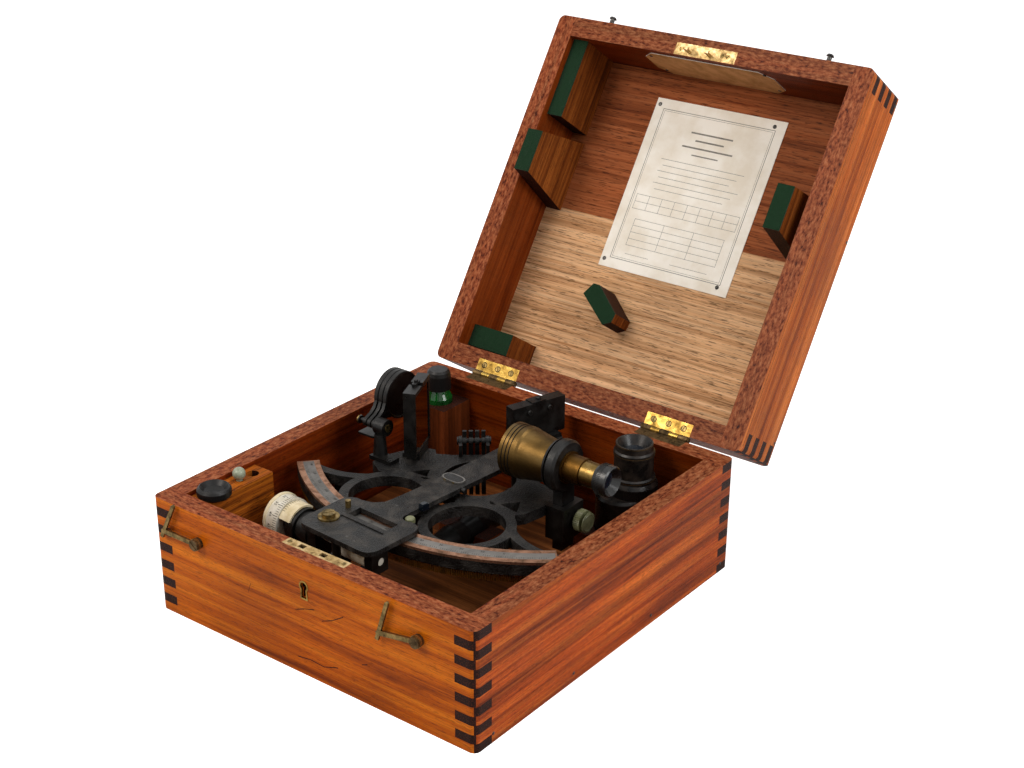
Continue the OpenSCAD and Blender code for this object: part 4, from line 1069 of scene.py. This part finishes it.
        # Hard rubber: black with a slight sheen
        self.rubber = Moulded("hard_black_rubber", "#151312", "#0c0b0a", rough=0.4, specular=0.25).material()
        # Black wax in engraved lines, with no shine
        self.ink = Moulded("engraved_black_wax", "#15120f", "#0c0a08", rough=0.5, specular=0.1).material()
        # Celluloid that has yellowed
        self.ivory = Moulded("yellowed_celluloid", "#e6d8b8", "#c9b68c", rough=0.34, grain=9.0).material()
        # The whiter celluloid of the drum
        self.white_band = Moulded("white_celluloid_band", "#dcd6c8", "#c4bba6", rough=0.32,
                                  grain=6.0).material()
        # Olive celluloid
        self.knob = Moulded("green_celluloid", "#7c7e5e", "#5a5c3e", rough=0.36, grain=5.0).material()
        # The paler green celluloid of the key
        self.jade = Moulded("pale_green_celluloid", "#a3aa94", "#848b76", rough=0.3, grain=2.2).material()
        # Old paper: off-white with faint stains
        self.paper = Moulded("aged_certificate_paper", "#fbf6ec", "#ece3d3", rough=0.8, grain=26.0,
                             specular=0.1).material()
        # Card browned by light
        self.card = Moulded("browned_card", "#bd8856", "#9c6e42", rough=0.8, grain=12.0,
                            specular=0.1).material()
        # Print faded to grey
        self.pale_ink = Moulded("faded_print", "#8f8a82", "#77726b", rough=0.8, specular=0.1).material()
        # Dark shade glass: near black and mirror smooth
        self.tint = Moulded("dark_tinted_glass", "#0d1512", "#0a0f0d", rough=0.06, grain=20.0,
                            relief=0.0).material()
        # Silvered glass
        self.mirror = Moulded("silvered_glass", "#a9adab", "#8e9391", rough=0.04, grain=25.0, metallic=1.0,
                              relief=0.0).material()
        # Lens glass before a dark tube
        self.lens = Moulded("coated_lens_glass", "#141c26", "#0a0f16", rough=0.04, grain=30.0,
                            relief=0.0).material()
        # Green bottle glass, partly clear
        self.bottle = Moulded("green_bottle_glass", "#1f7a2e", "#0a3a16", rough=0.06, grain=12.0,
                              see_through=0.6, relief=0.0).material()
        # Baize: matt green with a soft light at its edge
        self.felt = Felt("green_baize", "#08200f", "#183a20").material()


@dataclass
class Studio:
    """A pale floor, soft lamps, a white surround and the photograph's camera."""

    eye: Vec = (689.4, -822.8, 639.9)
    azimuth: float = 37.1557
    drop: float = 25.4562
    roll: float = 0.5131
    lens: float = 61.254
    shift: Point = (-0.01444, 0.03709)

    def white_surround(self) -> None:
        """Light the world softly, and show it white to the camera and in glass and metal."""
        world = bpy.data.worlds.new("white_surround")
        bpy.context.scene.world = world
        world.use_nodes = True
        tree = world.node_tree
        tree.nodes.clear()
        path = put(tree, "ShaderNodeLightPath")
        seen = reckon(tree, "MAXIMUM", path.outputs["Is Camera Ray"], path.outputs["Is Transmission Ray"])
        both = reckon(tree, "MAXIMUM", seen.outputs[0], path.outputs["Is Glossy Ray"])
        level = put(tree, "ShaderNodeMapRange", None, {
            "Value": both.outputs[0], "To Min": 0.28, "To Max": 1.0})
        back = put(tree, "ShaderNodeBackground", None, {
            "Color": colour("#ffffff"), "Strength": level.outputs[0]})
        out = put(tree, "ShaderNodeOutputWorld")
        tree.links.new(back.outputs[0], out.inputs["Surface"])

    def floor(self) -> None:
        """Lay a pale floor that keeps a faint shadow."""
        work = bmesh.new()
        slab(work, rectangle(-6000, -6000, 6000, 6000), -6.0, -0.05, Matrix.Identity(4))
        mesh = bpy.data.meshes.new("floor")
        work.to_mesh(mesh)
        work.free()
        ground = bpy.data.objects.new("floor", mesh)
        bpy.context.scene.collection.objects.link(ground)
        made = bpy.data.materials.new("white_paper_floor")
        made.use_nodes = True
        tree = made.node_tree
        tree.nodes.clear()
        path = put(tree, "ShaderNodeLightPath")
        paper = put(tree, "ShaderNodeBsdfDiffuse", None, {"Color": colour("#e9e9e9")})
        glow = put(tree, "ShaderNodeEmission", None, {"Color": colour("#ffffff"), "Strength": 0.9})
        both = put(tree, "ShaderNodeAddShader", None, {0: paper.outputs[0], 1: glow.outputs[0]})
        mix = put(tree, "ShaderNodeMixShader", None, {
            0: path.outputs["Is Camera Ray"], 1: paper.outputs[0], 2: both.outputs[0]})
        out = put(tree, "ShaderNodeOutputMaterial")
        tree.links.new(mix.outputs[0], out.inputs["Surface"])
        mesh.materials.append(made)

    def lamp(self, name: str, spot: Vec, aim: Vec, size: float, power: float, tint: str) -> None:
        """Hang a square soft lamp.

        Args:
            name: The lamp's name.
            spot: Where it hangs, in metres.
            aim: What it points at, in metres.
            size: Its side in metres.
            power: Its power in watts.
            tint: Its colour.
        """
        data = bpy.data.lights.new(name, "AREA")
        data.size = size
        data.energy = power
        data.color = colour(tint)[:3]
        made = bpy.data.objects.new(name, data)
        made.location = spot
        made.rotation_euler = (Vector(aim) - Vector(spot)).to_track_quat("-Z", "Y").to_euler()
        bpy.context.scene.collection.objects.link(made)

    def camera(self) -> None:
        """Place the camera where the photograph was taken from."""
        az, el, roll = (math.radians(a) for a in (self.azimuth, self.drop, self.roll))
        ahead = Vector((-math.sin(az) * math.cos(el), math.cos(az) * math.cos(el), -math.sin(el)))
        right = ahead.cross(Vector((0, 0, 1))).normalized()
        up = right.cross(ahead)
        right, up = (math.cos(roll) * right + math.sin(roll) * up,
                     -math.sin(roll) * right + math.cos(roll) * up)
        data = bpy.data.cameras.new("camera")
        data.sensor_width = 36.0
        data.lens = self.lens
        data.shift_x, data.shift_y = self.shift
        made = bpy.data.objects.new("camera", data)
        turn = Matrix((right, up, -ahead)).transposed().to_4x4()
        made.matrix_world = Matrix.Translation(Vector(self.eye) * MM) @ turn
        bpy.context.scene.collection.objects.link(made)
        bpy.context.scene.camera = made

    def build(self) -> None:
        """Set up the whole studio."""
        bpy.context.scene.view_settings.view_transform = "Standard"
        self.white_surround()
        self.floor()
        self.lamp("key", (-0.9, -1.5, 1.9), (0.0, 0.0, 0.1), 1.1, 34, "#fff6ec")
        self.lamp("side", (2.0, 0.1, 1.3), (0.0, 0.1, 0.1), 1.0, 22, "#ffffff")
        self.lamp("top", (0.2, 0.5, 2.2), (0.0, 0.0, 0.0), 1.2, 14, "#ffffff")
        self.camera()


@dataclass
class Woodwork:
    """The case's boards, blocks, nails and felt facings."""

    finishes: Finishes
    nodes: dict[str, bpy.types.Object]
    nail_ends: tuple[float, ...] = (-129.0, 135.2)
    nail_z: float = 6.5
    nail_r: float = 1.3
    wall_x: float = 140.0
    felt_t: float = 1.2

    def boards(self) -> None:
        """Dress every wooden node."""
        f = self.finishes
        for names, made in (
                (["base_front"], f.front), (["base_back"], f.back), (["base_left", "base_right"], f.side),
                (["lid_front", "lid_back"], f.lid_front), (["lid_left", "lid_right"], f.lid_side),
                (["lid_panel"], f.veneer), (["base_floor"], f.floor), (["pocket_block"], f.block),
                (["bottle_block", "monocular_socket", "rest_blocks"], f.dark_block),
                (["pad_blocks"], f.pad_block), (["baize_pads"], f.felt)):
            dress(self.nodes, names, made)

    def nails(self) -> None:
        """Drive small dark nails through the walls into the floor and the panel."""
        spots = []
        for s in (-1, 1):
            face = turn_about("Y", 90 * s)
            spots += [shift(s * self.wall_x, y, self.nail_z) @ face for y in self.nail_ends]
            spots += [shift(s * self.wall_x, y, self.nail_z) @ face for y in (-45.0, 45.0)]
        head = form_of("nail_head", lambda work: dome(work, self.nail_r, 0.25, Matrix.Identity(4), 12))
        fixed("floor_nails", head, spots, self.finishes.steel, Body.BASE)
        lid = shut_to_open()
        tops = [lid @ shift(s * self.wall_x, y, 139.2) @ turn_about("Y", 90 * s)
                for s in (-1, 1) for y in (-138.0, -30.0, 128.0)]
        head = form_of("nail_head", lambda work: dome(work, self.nail_r, 0.25, Matrix.Identity(4), 12))
        fixed("panel_nails", head, tops, self.finishes.steel, Body.LID)

    def felts(self) -> None:
        """Face each pad with its own piece of baize, a little uneven."""
        faces = (("limb_left", rectangle(-123.0, -47.3, -109.4, -13.3), 76.0),
                 ("limb_right", rectangle(103.0, -47.3, 116.6, -13.3), 76.0),
                 ("pocket", rectangle(-124.0, -130.5, -110.4, -66.5), 94.0),
                 ("corner", rectangle(-124.0, 111.4, -86.0, 128.7), 100.7),
                 ("mirror", [(-38.7, 53.0), (-33.0, 53.1), (-10.8, 71.5), (-12.0, 78.7), (-18.7, 82.3),
                             (-44.6, 62.7)], 111.8))
        made = [self.felt(name, outline, low) for name, outline, low in faces]
        for item in made:
            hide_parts("baize_pads")

    def felt(self, name: str, outline: Sequence[Point], low: float) -> bpy.types.Object:
        """Cut one facing, split it finely and press it a little uneven.

        Args:
            name: What it faces.
            outline: Its corners in the shut case, in millimetres.
            low: The height of its face in the shut case.

        Returns:
            The facing, on the lid.
        """
        work = bmesh.new()
        slab(work, outline, low, low + self.felt_t, Matrix.Identity(4))
        bmesh.ops.triangulate(work, faces=work.faces)
        for _ in range(5):
            long = [e for e in work.edges if e.calc_length() > 2.2 * MM]
            if long:
                bmesh.ops.subdivide_edges(work, edges=long, cuts=1)
                bmesh.ops.triangulate(work, faces=work.faces)
        for v in work.verts:
            if v.co.z < (low + 0.3) * MM:
                bumps = noise.noise(v.co * 400.0) + 0.5 * noise.noise(v.co * 1300.0)
                v.co.z += (0.12 + 0.14 * bumps) * MM
        work.transform(shut_to_open())
        item = piece("felt_" + name, work, self.finishes.felt, Body.LID)
        xs = [p[0] for p in outline]
        ys = [p[1] for p in outline]
        area = abs(sum(a[0] * b[1] - b[0] * a[1] for a, b in zip(outline, [*outline[1:], outline[0]]))) / 2
        return item

    def gouges(self) -> None:
        """Scratch the few long dents that cross the grain on the front."""
        work = bmesh.new()
        for path in ([(-8.6, 47.5), (-0.8, 50.8), (8.5, 53.5)], [(14.5, 47.4), (24.0, 51.5), (33.5, 57.6)],
                     [(-9.0, 11.8), (2.0, 13.6), (15.0, 13.0), (27.0, 17.2)],
                     [(-52.0, 44.0), (-49.0, 52.0)], [(48.0, 28.0), (53.0, 30.2)]):
            for (x0, z0), (x1, z1) in zip(path, path[1:]):
                slab(work, [(x0, z0 - 0.15), (x1, z1 - 0.35), (x1 - 0.2, z1 + 0.3), (x0, z0 + 0.4)],
                     -0.04, 0.03, shift(0, -146.5, 0) @ turn_about("X", 90))
        piece("front_gouges", work, self.finishes.ink, Body.BASE, smooth=False)

    def groove(self) -> None:
        """Scribe the fine line that runs round the lid a little above its rim."""
        work = bmesh.new()
        for s in (-1, 1):
            slab(work, rectangle(140.02 * s - 0.03, -141.0, 140.02 * s + 0.03, 141.0), 91.0, 91.35,
                 shut_to_open())
        piece("lid_groove", work, self.finishes.ink, Body.LID, smooth=False)

    def build(self) -> None:
        """Build and dress the woodwork."""
        self.boards()
        self.nails()
        self.felts()
        self.groove()
        self.gouges()


@dataclass
class Papers:
    """A plain ruled form pinned on the panel, and a browned card with cut corners."""

    finishes: Finishes
    nodes: dict[str, bpy.types.Object]
    left: float = -57.0
    near: float = -109.5
    wide: float = 118.5
    tall: float = 143.0

    def strip(self, work: bmesh.types.BMesh, x0: float, y0: float, x1: float, y1: float) -> None:
        """Print one line, given by its two corners from the form's top left corner."""
        slab(work, rectangle(self.left + x0, self.near + y0, self.left + x1, self.near + y1),
             PANEL_Z - 0.53, PANEL_Z - 0.49, shut_to_open())

    def form(self) -> None:
        """Print the border, the head, the ruled lines and the two tables, all without words."""
        frame, fine = bmesh.new(), bmesh.new()
        for inset, width in ((8.0, 0.5), (9.6, 0.25)):
            right, low = self.wide - inset, self.tall - inset
            self.strip(frame, inset, inset, right, inset + width)
            self.strip(frame, inset, low - width, right, low)
            self.strip(frame, inset, inset, inset + width, low)
            self.strip(frame, right - width, inset, right, low)
        for x, y, w, h in ((40, 22, 38, 1.3), (46, 28, 26, 1.3), (36, 34, 46, 1.3), (47, 40, 24, 1.0)):
            self.strip(frame, x, y, x + w, y + h)
        for row in range(6):
            self.strip(fine, 22 + 3 * (row % 2), 48 + row * 5, 98 - 5 * (row % 3), 48.35 + row * 5)
        for row in range(3):
            self.strip(fine, 12, 80 + row * 6.0, self.wide - 12, 80.3 + row * 6.0)
        for column in range(9):
            x = 12 + column * (self.wide - 24) / 8
            self.strip(fine, x, 80, x + 0.3, 92.3)
        for row in range(5):
            self.strip(fine, 18, 100 + row * 5.5, self.wide - 18, 100.3 + row * 5.5)
        for column in range(4):
            x = 18 + column * (self.wide - 36) / 3
            self.strip(fine, x, 100, x + 0.3, 122.3)
        for x, w in ((20, 22), (62, 34)):
            self.strip(fine, x, 129, x + w, 129.3)
        piece("form_frame", frame, self.finishes.pale_ink, Body.LID, smooth=False)
        piece("form_lines", fine, self.finishes.pale_ink, Body.LID, smooth=False)

    def card(self) -> None:
        """Lay the browned card over its place behind the lid's front wall."""
        cut = [(-50, 93.7), (46, 93.7), (56, 103.7), (56, 125.7), (46, 135.2), (-50, 135.2), (-60, 125.7),
               (-60, 103.7)]
        work = bmesh.new()
        upright = shut_to_open() @ shift(0, -130.5, 0) @ turn_about("X", 90)
        slab(work, cut, -0.56, -0.5, upright)
        piece("front_card", work, self.finishes.card, Body.LID, smooth=False)
        spots = [shut_to_open() @ shift(x, -129.95, z) @ turn_about("X", -90)
                 for x, z in ((-53, 128.6), (-53, 100.0), (50, 128.0), (50, 97.6))]
        tack = form_of("tack", lambda work: dome(work, 1.5, 0.6, Matrix.Identity(4), 14))
        fixed("card_tacks", tack, spots, self.finishes.steel, Body.LID)

    def pins(self) -> None:
        """Pin the form at its four corners."""
        spots = [shut_to_open() @ shift(x, y, PANEL_Z - 0.5) @ turn_about("X", 180)
                 for x in (-53.5, 51.5) for y in (-104.3, 27.3)]
        pin = form_of("pin", lambda work: dome(work, 1.7, 0.7, Matrix.Identity(4), 14))
        fixed("form_pins", pin, spots, self.finishes.steel, Body.LID)

    def build(self) -> None:
        """Build the papers."""
        dress(self.nodes, ["lid_papers"], self.finishes.paper)
        self.form()
        self.card()
        self.pins()


@dataclass
class Hardware:
    """Rings that show round the hinge screws, and the screws of the lock's plate."""

    finishes: Finishes
    nodes: dict[str, bpy.types.Object]
    hinge_x: float = 79.3
    step: float = 13.035
    screw_y: float = 141.716

    def build(self) -> None:
        """Dress the brass and add the rings and screws."""
        f = self.finishes
        for names, made in (
                (["lock_case", "catch_plate"], f.plate), (["escutcheon", "lid_hinge_leaves"], f.bright),
                (["base_hinge_leaves", "hinge_pins", "base_screws"], f.dark_brass),
                (["hook_left", "hook_right", "lid_screws", "lock_bolt"], f.brass),
                (["hook_studs"], f.steel)):
            dress(self.nodes, names, made)
        # Painted shade and dirt: a thin black ring round each lid hinge screw's head stands for the gap
        # round it.
        ring = [(2.05, 0.0), (2.05, 0.12), (2.45, 0.12), (2.45, 0.0), (2.05, 0.0)]
        lid = shut_to_open()
        spots = [lid @ shift(s * self.hinge_x + i * self.step, self.screw_y, 87.7) @ turn_about("X", 180)
                 for s in (-1, 1) for i in (-1, 0, 1)]
        form = form_of("screw_ring", lambda work: lathe(work, ring, Matrix.Identity(4), 24))
        fixed("hinge_screw_rings", form, spots, f.ink, Body.LID)
        head = form_of("plate_screw", lambda work: slotted(work, 1.7, 0.25))
        spots = [shift(0.5 + x, -134.1, 87.25) @ turn_about("Z", 30 * x) for x in (-23.5, 23.5)]
        fixed("lock_plate_screws", head, spots, f.brass, Body.BASE)


@dataclass
class Instrument:
    """The sextant: its divided arc, arm, drum, mirrors, shades and telescope."""

    finishes: Finishes
    nodes: dict[str, bpy.types.Object]
    arc_z: float = 75.0
    arm_top: float = 79.6
    worm_v: float = -182.0
    worm_z: float = 62.0
    scope_y: float = 39.5
    scope_z: float = 101.5
    arc_marks: int = 161
    arc_marks_r: float = 168.6
    arc_figures_r: float = 164.6
    arc_first: float = 30.0
    drum_r: float = 15.93
    shade_x: float = -87.0
    shade_step: float = 4.2
    shade_ahead: float = 79.2
    shade_z: float = 95.0
    shade_lean: float = 26.5
    shade_reach: float = 31.3
    fan_x: float = -29.5
    fan_ahead: float = 35.3
    fan_z: float = 82.0
    fan_turn: float = 40.0
    fan_step: float = 4.6
    mirror_turn: float = 166.9
    mirror_top: float = 110.0

    def worm(self) -> Matrix:
        """Give the worm's axis as the local Z axis."""
        return at_pivot(ARM_DEG, self.worm_z) @ shift(0, self.worm_v, 0) @ turn_about("Y", 90)

    def on_arm(self, u: float, v: float, z: float) -> Matrix:
        """Give a place on the arm, drawn straight forward."""
        return at_pivot(ARM_DEG, 0) @ shift(u, v, z)

    def on_scope(self, x: float) -> Matrix:
        """Give a place along the telescope, whose axis is the local Z axis."""
        return shift(x, self.scope_y, self.scope_z) @ turn_about("Y", 90)

    def dressing(self) -> None:
        """Give every metal, glass and moulded node its finish."""
        f = self.finishes
        table = {
            "sextant_frame": f.crackle, "arc_scale": f.copper, "rack_arc": f.rack, "handle_grip": f.rubber,
            "frame_legs": f.satin, "frame_brackets": f.satin, "horizon_mirror_frame": f.satin,
            "horizon_mirror": f.mirror, "index_arm": f.arm, "index_mirror_frame": f.satin,
            "index_mirror": f.mirror, "worm_box": f.satin, "arm_fittings": f.brass,
            "micrometer_drum": f.white_band, "release_lever": f.rubber, "rising_piece": f.satin,
            "rising_knob": f.knob, "telescope_tube": f.scope, "telescope_eyepiece": f.tube,
            "monocular": f.turned, "oil_bottle": f.bottle, "bottle_cap": f.rubber,
            "spare_eyepiece": f.rubber, "adjusting_key": f.jade}
        table.update({f"index_shade_{k}": f.satin for k in range(1, 5)})
        table.update({f"horizon_shade_{k}": f.satin for k in range(1, 4)})
        for name, made in table.items():
            dress(self.nodes, [name], made)

    def arc(self) -> None:
        """Inlay the silver band, and cut its lines and figures."""
        work = bmesh.new()
        sector(work, (162.4, 170.2), (-41.6, 41.6), (self.arc_z - 0.3, self.arc_z + 0.03), at_pivot(), 96)
        piece("arc_inlay", work, self.finishes.silver, Body.SEXTANT)
        spread_piece(
            Body.SEXTANT, "arc_lines", at_pivot(0, self.arc_z + 0.04), self.finishes.ink, self.arc_marks,
                self.arc_marks_r,
            -130.0, 0.5, (1.8, 0.22, 0.05), every=5, long=-1.4)
        marks = []
        for k in range(15):
            at = at_pivot(self.arc_first - 5 * k, self.arc_z + 0.04) @ shift(0, -self.arc_figures_r, 0)
            marks.append((str(10 * k), at))
        figures("arc_figures", marks, 2.9, 0.02, self.finishes.ink, Body.SEXTANT)

    def drum(self) -> None:
        """Line and number the drum, and set the cream ring and the index sleeve."""
        f = self.finishes
        axis = self.worm()
        spread_piece(
            Body.DRUM, "drum_lines", axis @ shift(0, 0, -65.4), f.ink, 60, self.drum_r, 0.0, 6.0, (0.1, 0.3,
            3.2))
        spread_piece(
            Body.DRUM, "drum_long_lines", axis @ shift(0, 0, -66.2), f.ink, 12, 15.94, 0.0, 30.0, (0.1,
            0.4, 4.8))
        marks = []
        for k in range(12):
            spot = axis @ turn_about("Z", 30 * k) @ shift(self.drum_r, 0, -70.6)
            marks.append((str(5 * k), spot @ turn_about("Y", 90) @ turn_about("Z", 90)))
        figures("drum_figures", marks, 3.2, 0.03, f.ink, Body.DRUM)
        turned_piece(
            "drum_cream_ring", [(14.0, -77.1), (16.2, -76.4), (16.62, -75.8), (16.62, -73.9), (16.3,
            -73.5), (15.8, -73.4), (14.0, -77.1)], axis, f.ivory, Body.DRUM)
        work = bmesh.new()
        shell = [(r * math.cos(math.radians(a)), r * math.sin(math.radians(a)))
                 for r, way in ((13.2, 1), (14.6, -1)) for a in range(-52 * way, 53 * way, 8 * way)]
        slab(work, shell, -63.1, -52.6, axis @ turn_about("Z", 180 + 10))
        piece("index_sleeve", work, f.ivory, Body.ARM)
        spread_piece(
            Body.ARM, "sleeve_lines", axis @ shift(0, 0, -61.8), f.ink, 9, 14.63, 162.0, 7.0, (0.08, 0.3,
            2.4))

    def arm(self) -> None:
        """Add the badge's rim, small screws, the lamp's green stud and the little lens block."""
        f = self.finishes
        work = bmesh.new()
        at = self.on_arm(0.5, -88.3, self.arm_top)
        outline = [(9.3 * math.copysign(abs(math.cos(a)) ** 0.75, math.cos(a)),
                    5.1 * math.copysign(abs(math.sin(a)) ** 0.75, math.sin(a)))
                   for a in (2 * math.pi * i / 48 for i in range(48))]
        slab(work, outline, 0.05, 1.25, at)
        piece("badge_rim", work, f.silver, Body.ARM)
        work = bmesh.new()
        slab(work, [(x * 0.86, y * 0.78) for x, y in outline], 1.2, 1.42, at)
        piece("badge_face", work, f.satin, Body.ARM)
        small = form_of("small_screw", lambda work: dome(work, 0.9, 0.3, Matrix.Identity(4), 12))
        spots = [self.on_arm(u, v, self.arm_top) for u, v in (
            (4.1, -194.7), (12.4, -196.0), (22.4, -195.2), (29.5, -177.4), (-1.8, -142.4), (-31, -158),
            (-30.5, -195))]
        fixed("arm_small_screws", small, spots, f.steel, Body.ARM)
        turned_piece(
            "lamp_stud", [(0, -2.6), (3.4, -2.6), (3.4, 0.4), (2.7, 1.1), (0, 1.3)], self.on_arm(17.5,
            -149.0, self.arm_top - 0.6), f.knob, Body.ARM, 32)
        work = bmesh.new()
        block = self.on_arm(14.2, -132.6, self.arm_top)
        slab(work, [(-2.2, -2.6), (2.0, -3.0), (2.6, 2.6), (-2.0, 2.8)], -1.0, 3.2, block)
        slab(work, [(-1.7, -2.1), (1.5, -2.4), (2.0, 2.1), (-1.5, 2.2)], 3.1, 3.7, block)
        piece("lens_block", work, f.lens, Body.ARM)
        turned_piece(
            "arm_edge_screw", [(0, 0), (1.8, 0), (2.0, 0.5), (2.0, 3.0), (1.5, 3.6), (0, 3.6)],
            self.on_arm(13.0, -93.5, 77.6) @ turn_about("Y", 90), f.satin, Body.ARM, 24)

    def mirrors(self) -> None:
        """Add the clips and screws on the mirrors' frames."""
        f = self.finishes
        clip = shift(-60.1, PIVOT_Y - 62.9, 127.0) @ turn_about("Z", 23.5)
        work = bmesh.new()
        slab(work, rectangle(-4.6, -17.6, 4.8, -2.0), -0.2, 1.3, clip)
        slab(work, rectangle(-4.0, 0.5, 4.8, 17.4), -0.2, 2.6, clip)
        slab(work, [(-1.5, -5.5), (1.5, -5.5), (2.0, 3.5), (-2.0, 3.5)], 1.2, 3.4, clip)
        lathe(work, [(0, 3.0), (1.6, 3.0), (1.6, 4.6), (1.1, 5.0), (0, 5.0)], clip, 20)
        piece("horizon_clip", work, f.satin, Body.SEXTANT)
        back = at_pivot(ARM_DEG, self.mirror_top) @ turn_about("Z", self.mirror_turn)
        work = bmesh.new()
        slab(work, rectangle(-4.4, -6.0, 4.6, 6.0), -0.2, 0.9, back)
        lathe(work, [(0, 0.8), (2.0, 0.8), (2.0, 2.0), (1.4, 2.5), (0, 2.5)], back @ shift(0, -2.0, 0), 24)
        piece("index_mirror_clip", work, f.satin, Body.ARM)
        work = bmesh.new()
        for y in (-9.0, 9.0):
            lathe(work, [(0, 0), (2.2, 0), (2.2, 0.8), (1.6, 1.4), (0, 1.4)],
                  back @ shift(-4.5, y, -6.0) @ turn_about("Y", -90), 24)
        piece("index_mirror_screws", work, f.satin, Body.ARM)

    def shades(self) -> None:
        """Set the tinted glasses, rims and necks of the shades, and their brass screws."""
        f = self.finishes
        for k in range(1, 4):
            hub = shift(self.shade_x - (k - 1) * self.shade_step, PIVOT_Y - self.shade_ahead,
                        self.shade_z) @ turn_about("X", self.shade_lean)
            side = hub @ shift(0, self.shade_reach, 0) @ turn_about("Y", 90)
            body = f"horizon_shade_{k}_body"
            turned_piece(
                f"horizon_glass_{k}", [(0, 0.75), (16.0, 0.75), (16.0, 2.25), (0, 2.25)], side, f.tint,
                body, 48)
            work = bmesh.new()
            neck = [(-3.4, 1.0), (-3.0, 6.0), (-4.2, 11.0), (-8.5, 16.4), (8.5, 16.4), (4.2, 11.0),
                    (3.0, 6.0), (3.4, 1.0)]
            slab(work, [(-x, y) for x, y in neck], 0.2, 2.8, hub @ turn_about("Y", 90))
            lathe(work, [(16.2, 3.0), (16.6, 3.25), (17.6, 3.25), (18.0, 2.9), (18.0, 0.1), (17.6, -0.2),
                         (16.6, -0.2), (16.2, 0.0), (16.2, 3.0)], side, 64)
            piece(f"horizon_rim_{k}", work, f.satin, body)
        for k in range(1, 5):
            hub = shift(self.fan_x, PIVOT_Y - self.fan_ahead, self.fan_z) @ turn_about("Z", self.fan_turn)
            side = hub @ shift((k - 2.5) * self.fan_step - 1.5, 0, 0) @ turn_about("X", -90) @ shift(0,
                30.5, 0) \
                @ turn_about("Y", 90)
            turned_piece(
                f"index_glass_{k}", [(0, 0.75), (10.5, 0.75), (10.5, 2.25), (0, 2.25)], side, f.tint,
                f"index_shade_{k}_body", 40)
        head = form_of("brass_screw", lambda work: slotted(work, 3.0, 0.9))
        spots = [shift(-74.0, PIVOT_Y - self.shade_ahead, self.shade_z) @ turn_about("Y",
            90) @ turn_about("Z", 35),
                 shift(-100.4, PIVOT_Y - self.shade_ahead, self.shade_z) @ turn_about("Y", -90)]
        fixed("shade_post_screws", head, spots, f.brass, Body.SEXTANT)
        work = bmesh.new()
        slab(work, rectangle(-99.0, -83.6, -84.6, -73.4), 0, 1.6, shift(0, PIVOT_Y, 85.4))
        slab(work, rectangle(-84.8, -83.0, -80.0, -75.4), 0, 1.6, shift(0, PIVOT_Y, 85.4))
        piece("shade_lip_plate", work, f.satin, Body.SEXTANT)

    def scope(self) -> None:
        """Set the telescope's lenses, the collar's turned steps and the knob's rings."""
        f = self.finishes
        turned_piece(
            "objective_lens", [(0, 27.75), (15.7, 27.9), (15.7, 27.2), (12.0, 26.9), (0, 26.7)],
            self.on_scope(0), f.lens, Body.RISING, 64)
        work = bmesh.new()
        for x in (28.3, 31.1, 33.9):
            lathe(work, [(18.3, x - 0.28), (19.28, x - 0.28), (19.28, x + 0.28), (18.3, x + 0.28),
                         (18.3, x - 0.28)], self.on_scope(0), 96)
        piece("bell_grooves", work, f.ink, Body.RISING)
        turned_piece(
            "collar_step", [(10.4, 61.8), (15.6, 61.8), (16.4, 61.2), (17.2, 61.2), (17.6, 61.9), (18.0,
            63.0), (10.4, 63.0), (10.4, 61.8)], self.on_scope(0), f.satin, Body.RISING, 96)
        turned_piece(
            "eye_lens", [(0, 103.2), (5.9, 104.1), (5.9, 103.4), (0, 102.8)], self.on_scope(0), f.lens,
            Body.EYEPIECE, 40)
        spread_piece(
            Body.EYEPIECE, "cup_ribs", self.on_scope(102.0), f.rubber, 60, 11.0, 0.0, 6.0, (0.35, 0.5,
            4.0))
        work = bmesh.new()
        knob = shift(86.9, PIVOT_Y - 54.2, 61.5) @ turn_about("Y", 90)
        lathe(work, [(0, 0.0), (5.6, 0.0), (6.0, 0.35), (6.4, 0.0), (7.3, 0.0), (7.3, -0.6), (0, -0.6)],
              knob, 48)
        piece("knob_face", work, f.knob, Body.KNOB)

    def accessories(self) -> None:
        """Add the monocular's glass, worn rings and knurling."""
        f = self.finishes
        work = bmesh.new()
        eye = shift(80.5, 107.5, 0)
        lathe(work, [(0, 90.3), (7.4, 90.9), (7.4, 90.2), (0, 89.8)], eye, 40)
        piece("monocular_glass", work, f.lens, Body.MONOCULAR)
        work = bmesh.new()
        for r, z in ((14.86, 89.4), (15.78, 70.3), (13.5, 96.4)):
            lathe(work, [(r - 0.5, z - 0.3), (r, z - 0.25), (r, z + 0.25), (r - 0.5, z + 0.3),
                         (r - 0.5, z - 0.3)], eye, 64)
        piece("monocular_worn_rings", work, f.dark_brass, Body.MONOCULAR)
        spread_piece(
            Body.MONOCULAR, "monocular_knurl", eye @ shift(0, 0, 62.0), f.rubber, 90, 17.6, 0.0, 4.0,
            (0.3, 0.6, 6.6))

    def build(self) -> None:
        """Build and dress the whole instrument and its accessories."""
        self.dressing()
        self.arc()
        self.drum()
        self.arm()
        self.mirrors()
        self.shades()
        self.scope()
        self.accessories()


def main() -> None:
    """Build the studio and every sub-assembly."""
    logging.basicConfig(level=logging.INFO, format="%(name)s: %(message)s")
    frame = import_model()
    Studio().build()
    finishes = Finishes()
    nodes = frame["nodes"]
    Woodwork(finishes, nodes).build()
    Papers(finishes, nodes).build()
    Hardware(finishes, nodes).build()
    Instrument(finishes, nodes).build()


if __name__ == "__main__":
    main()
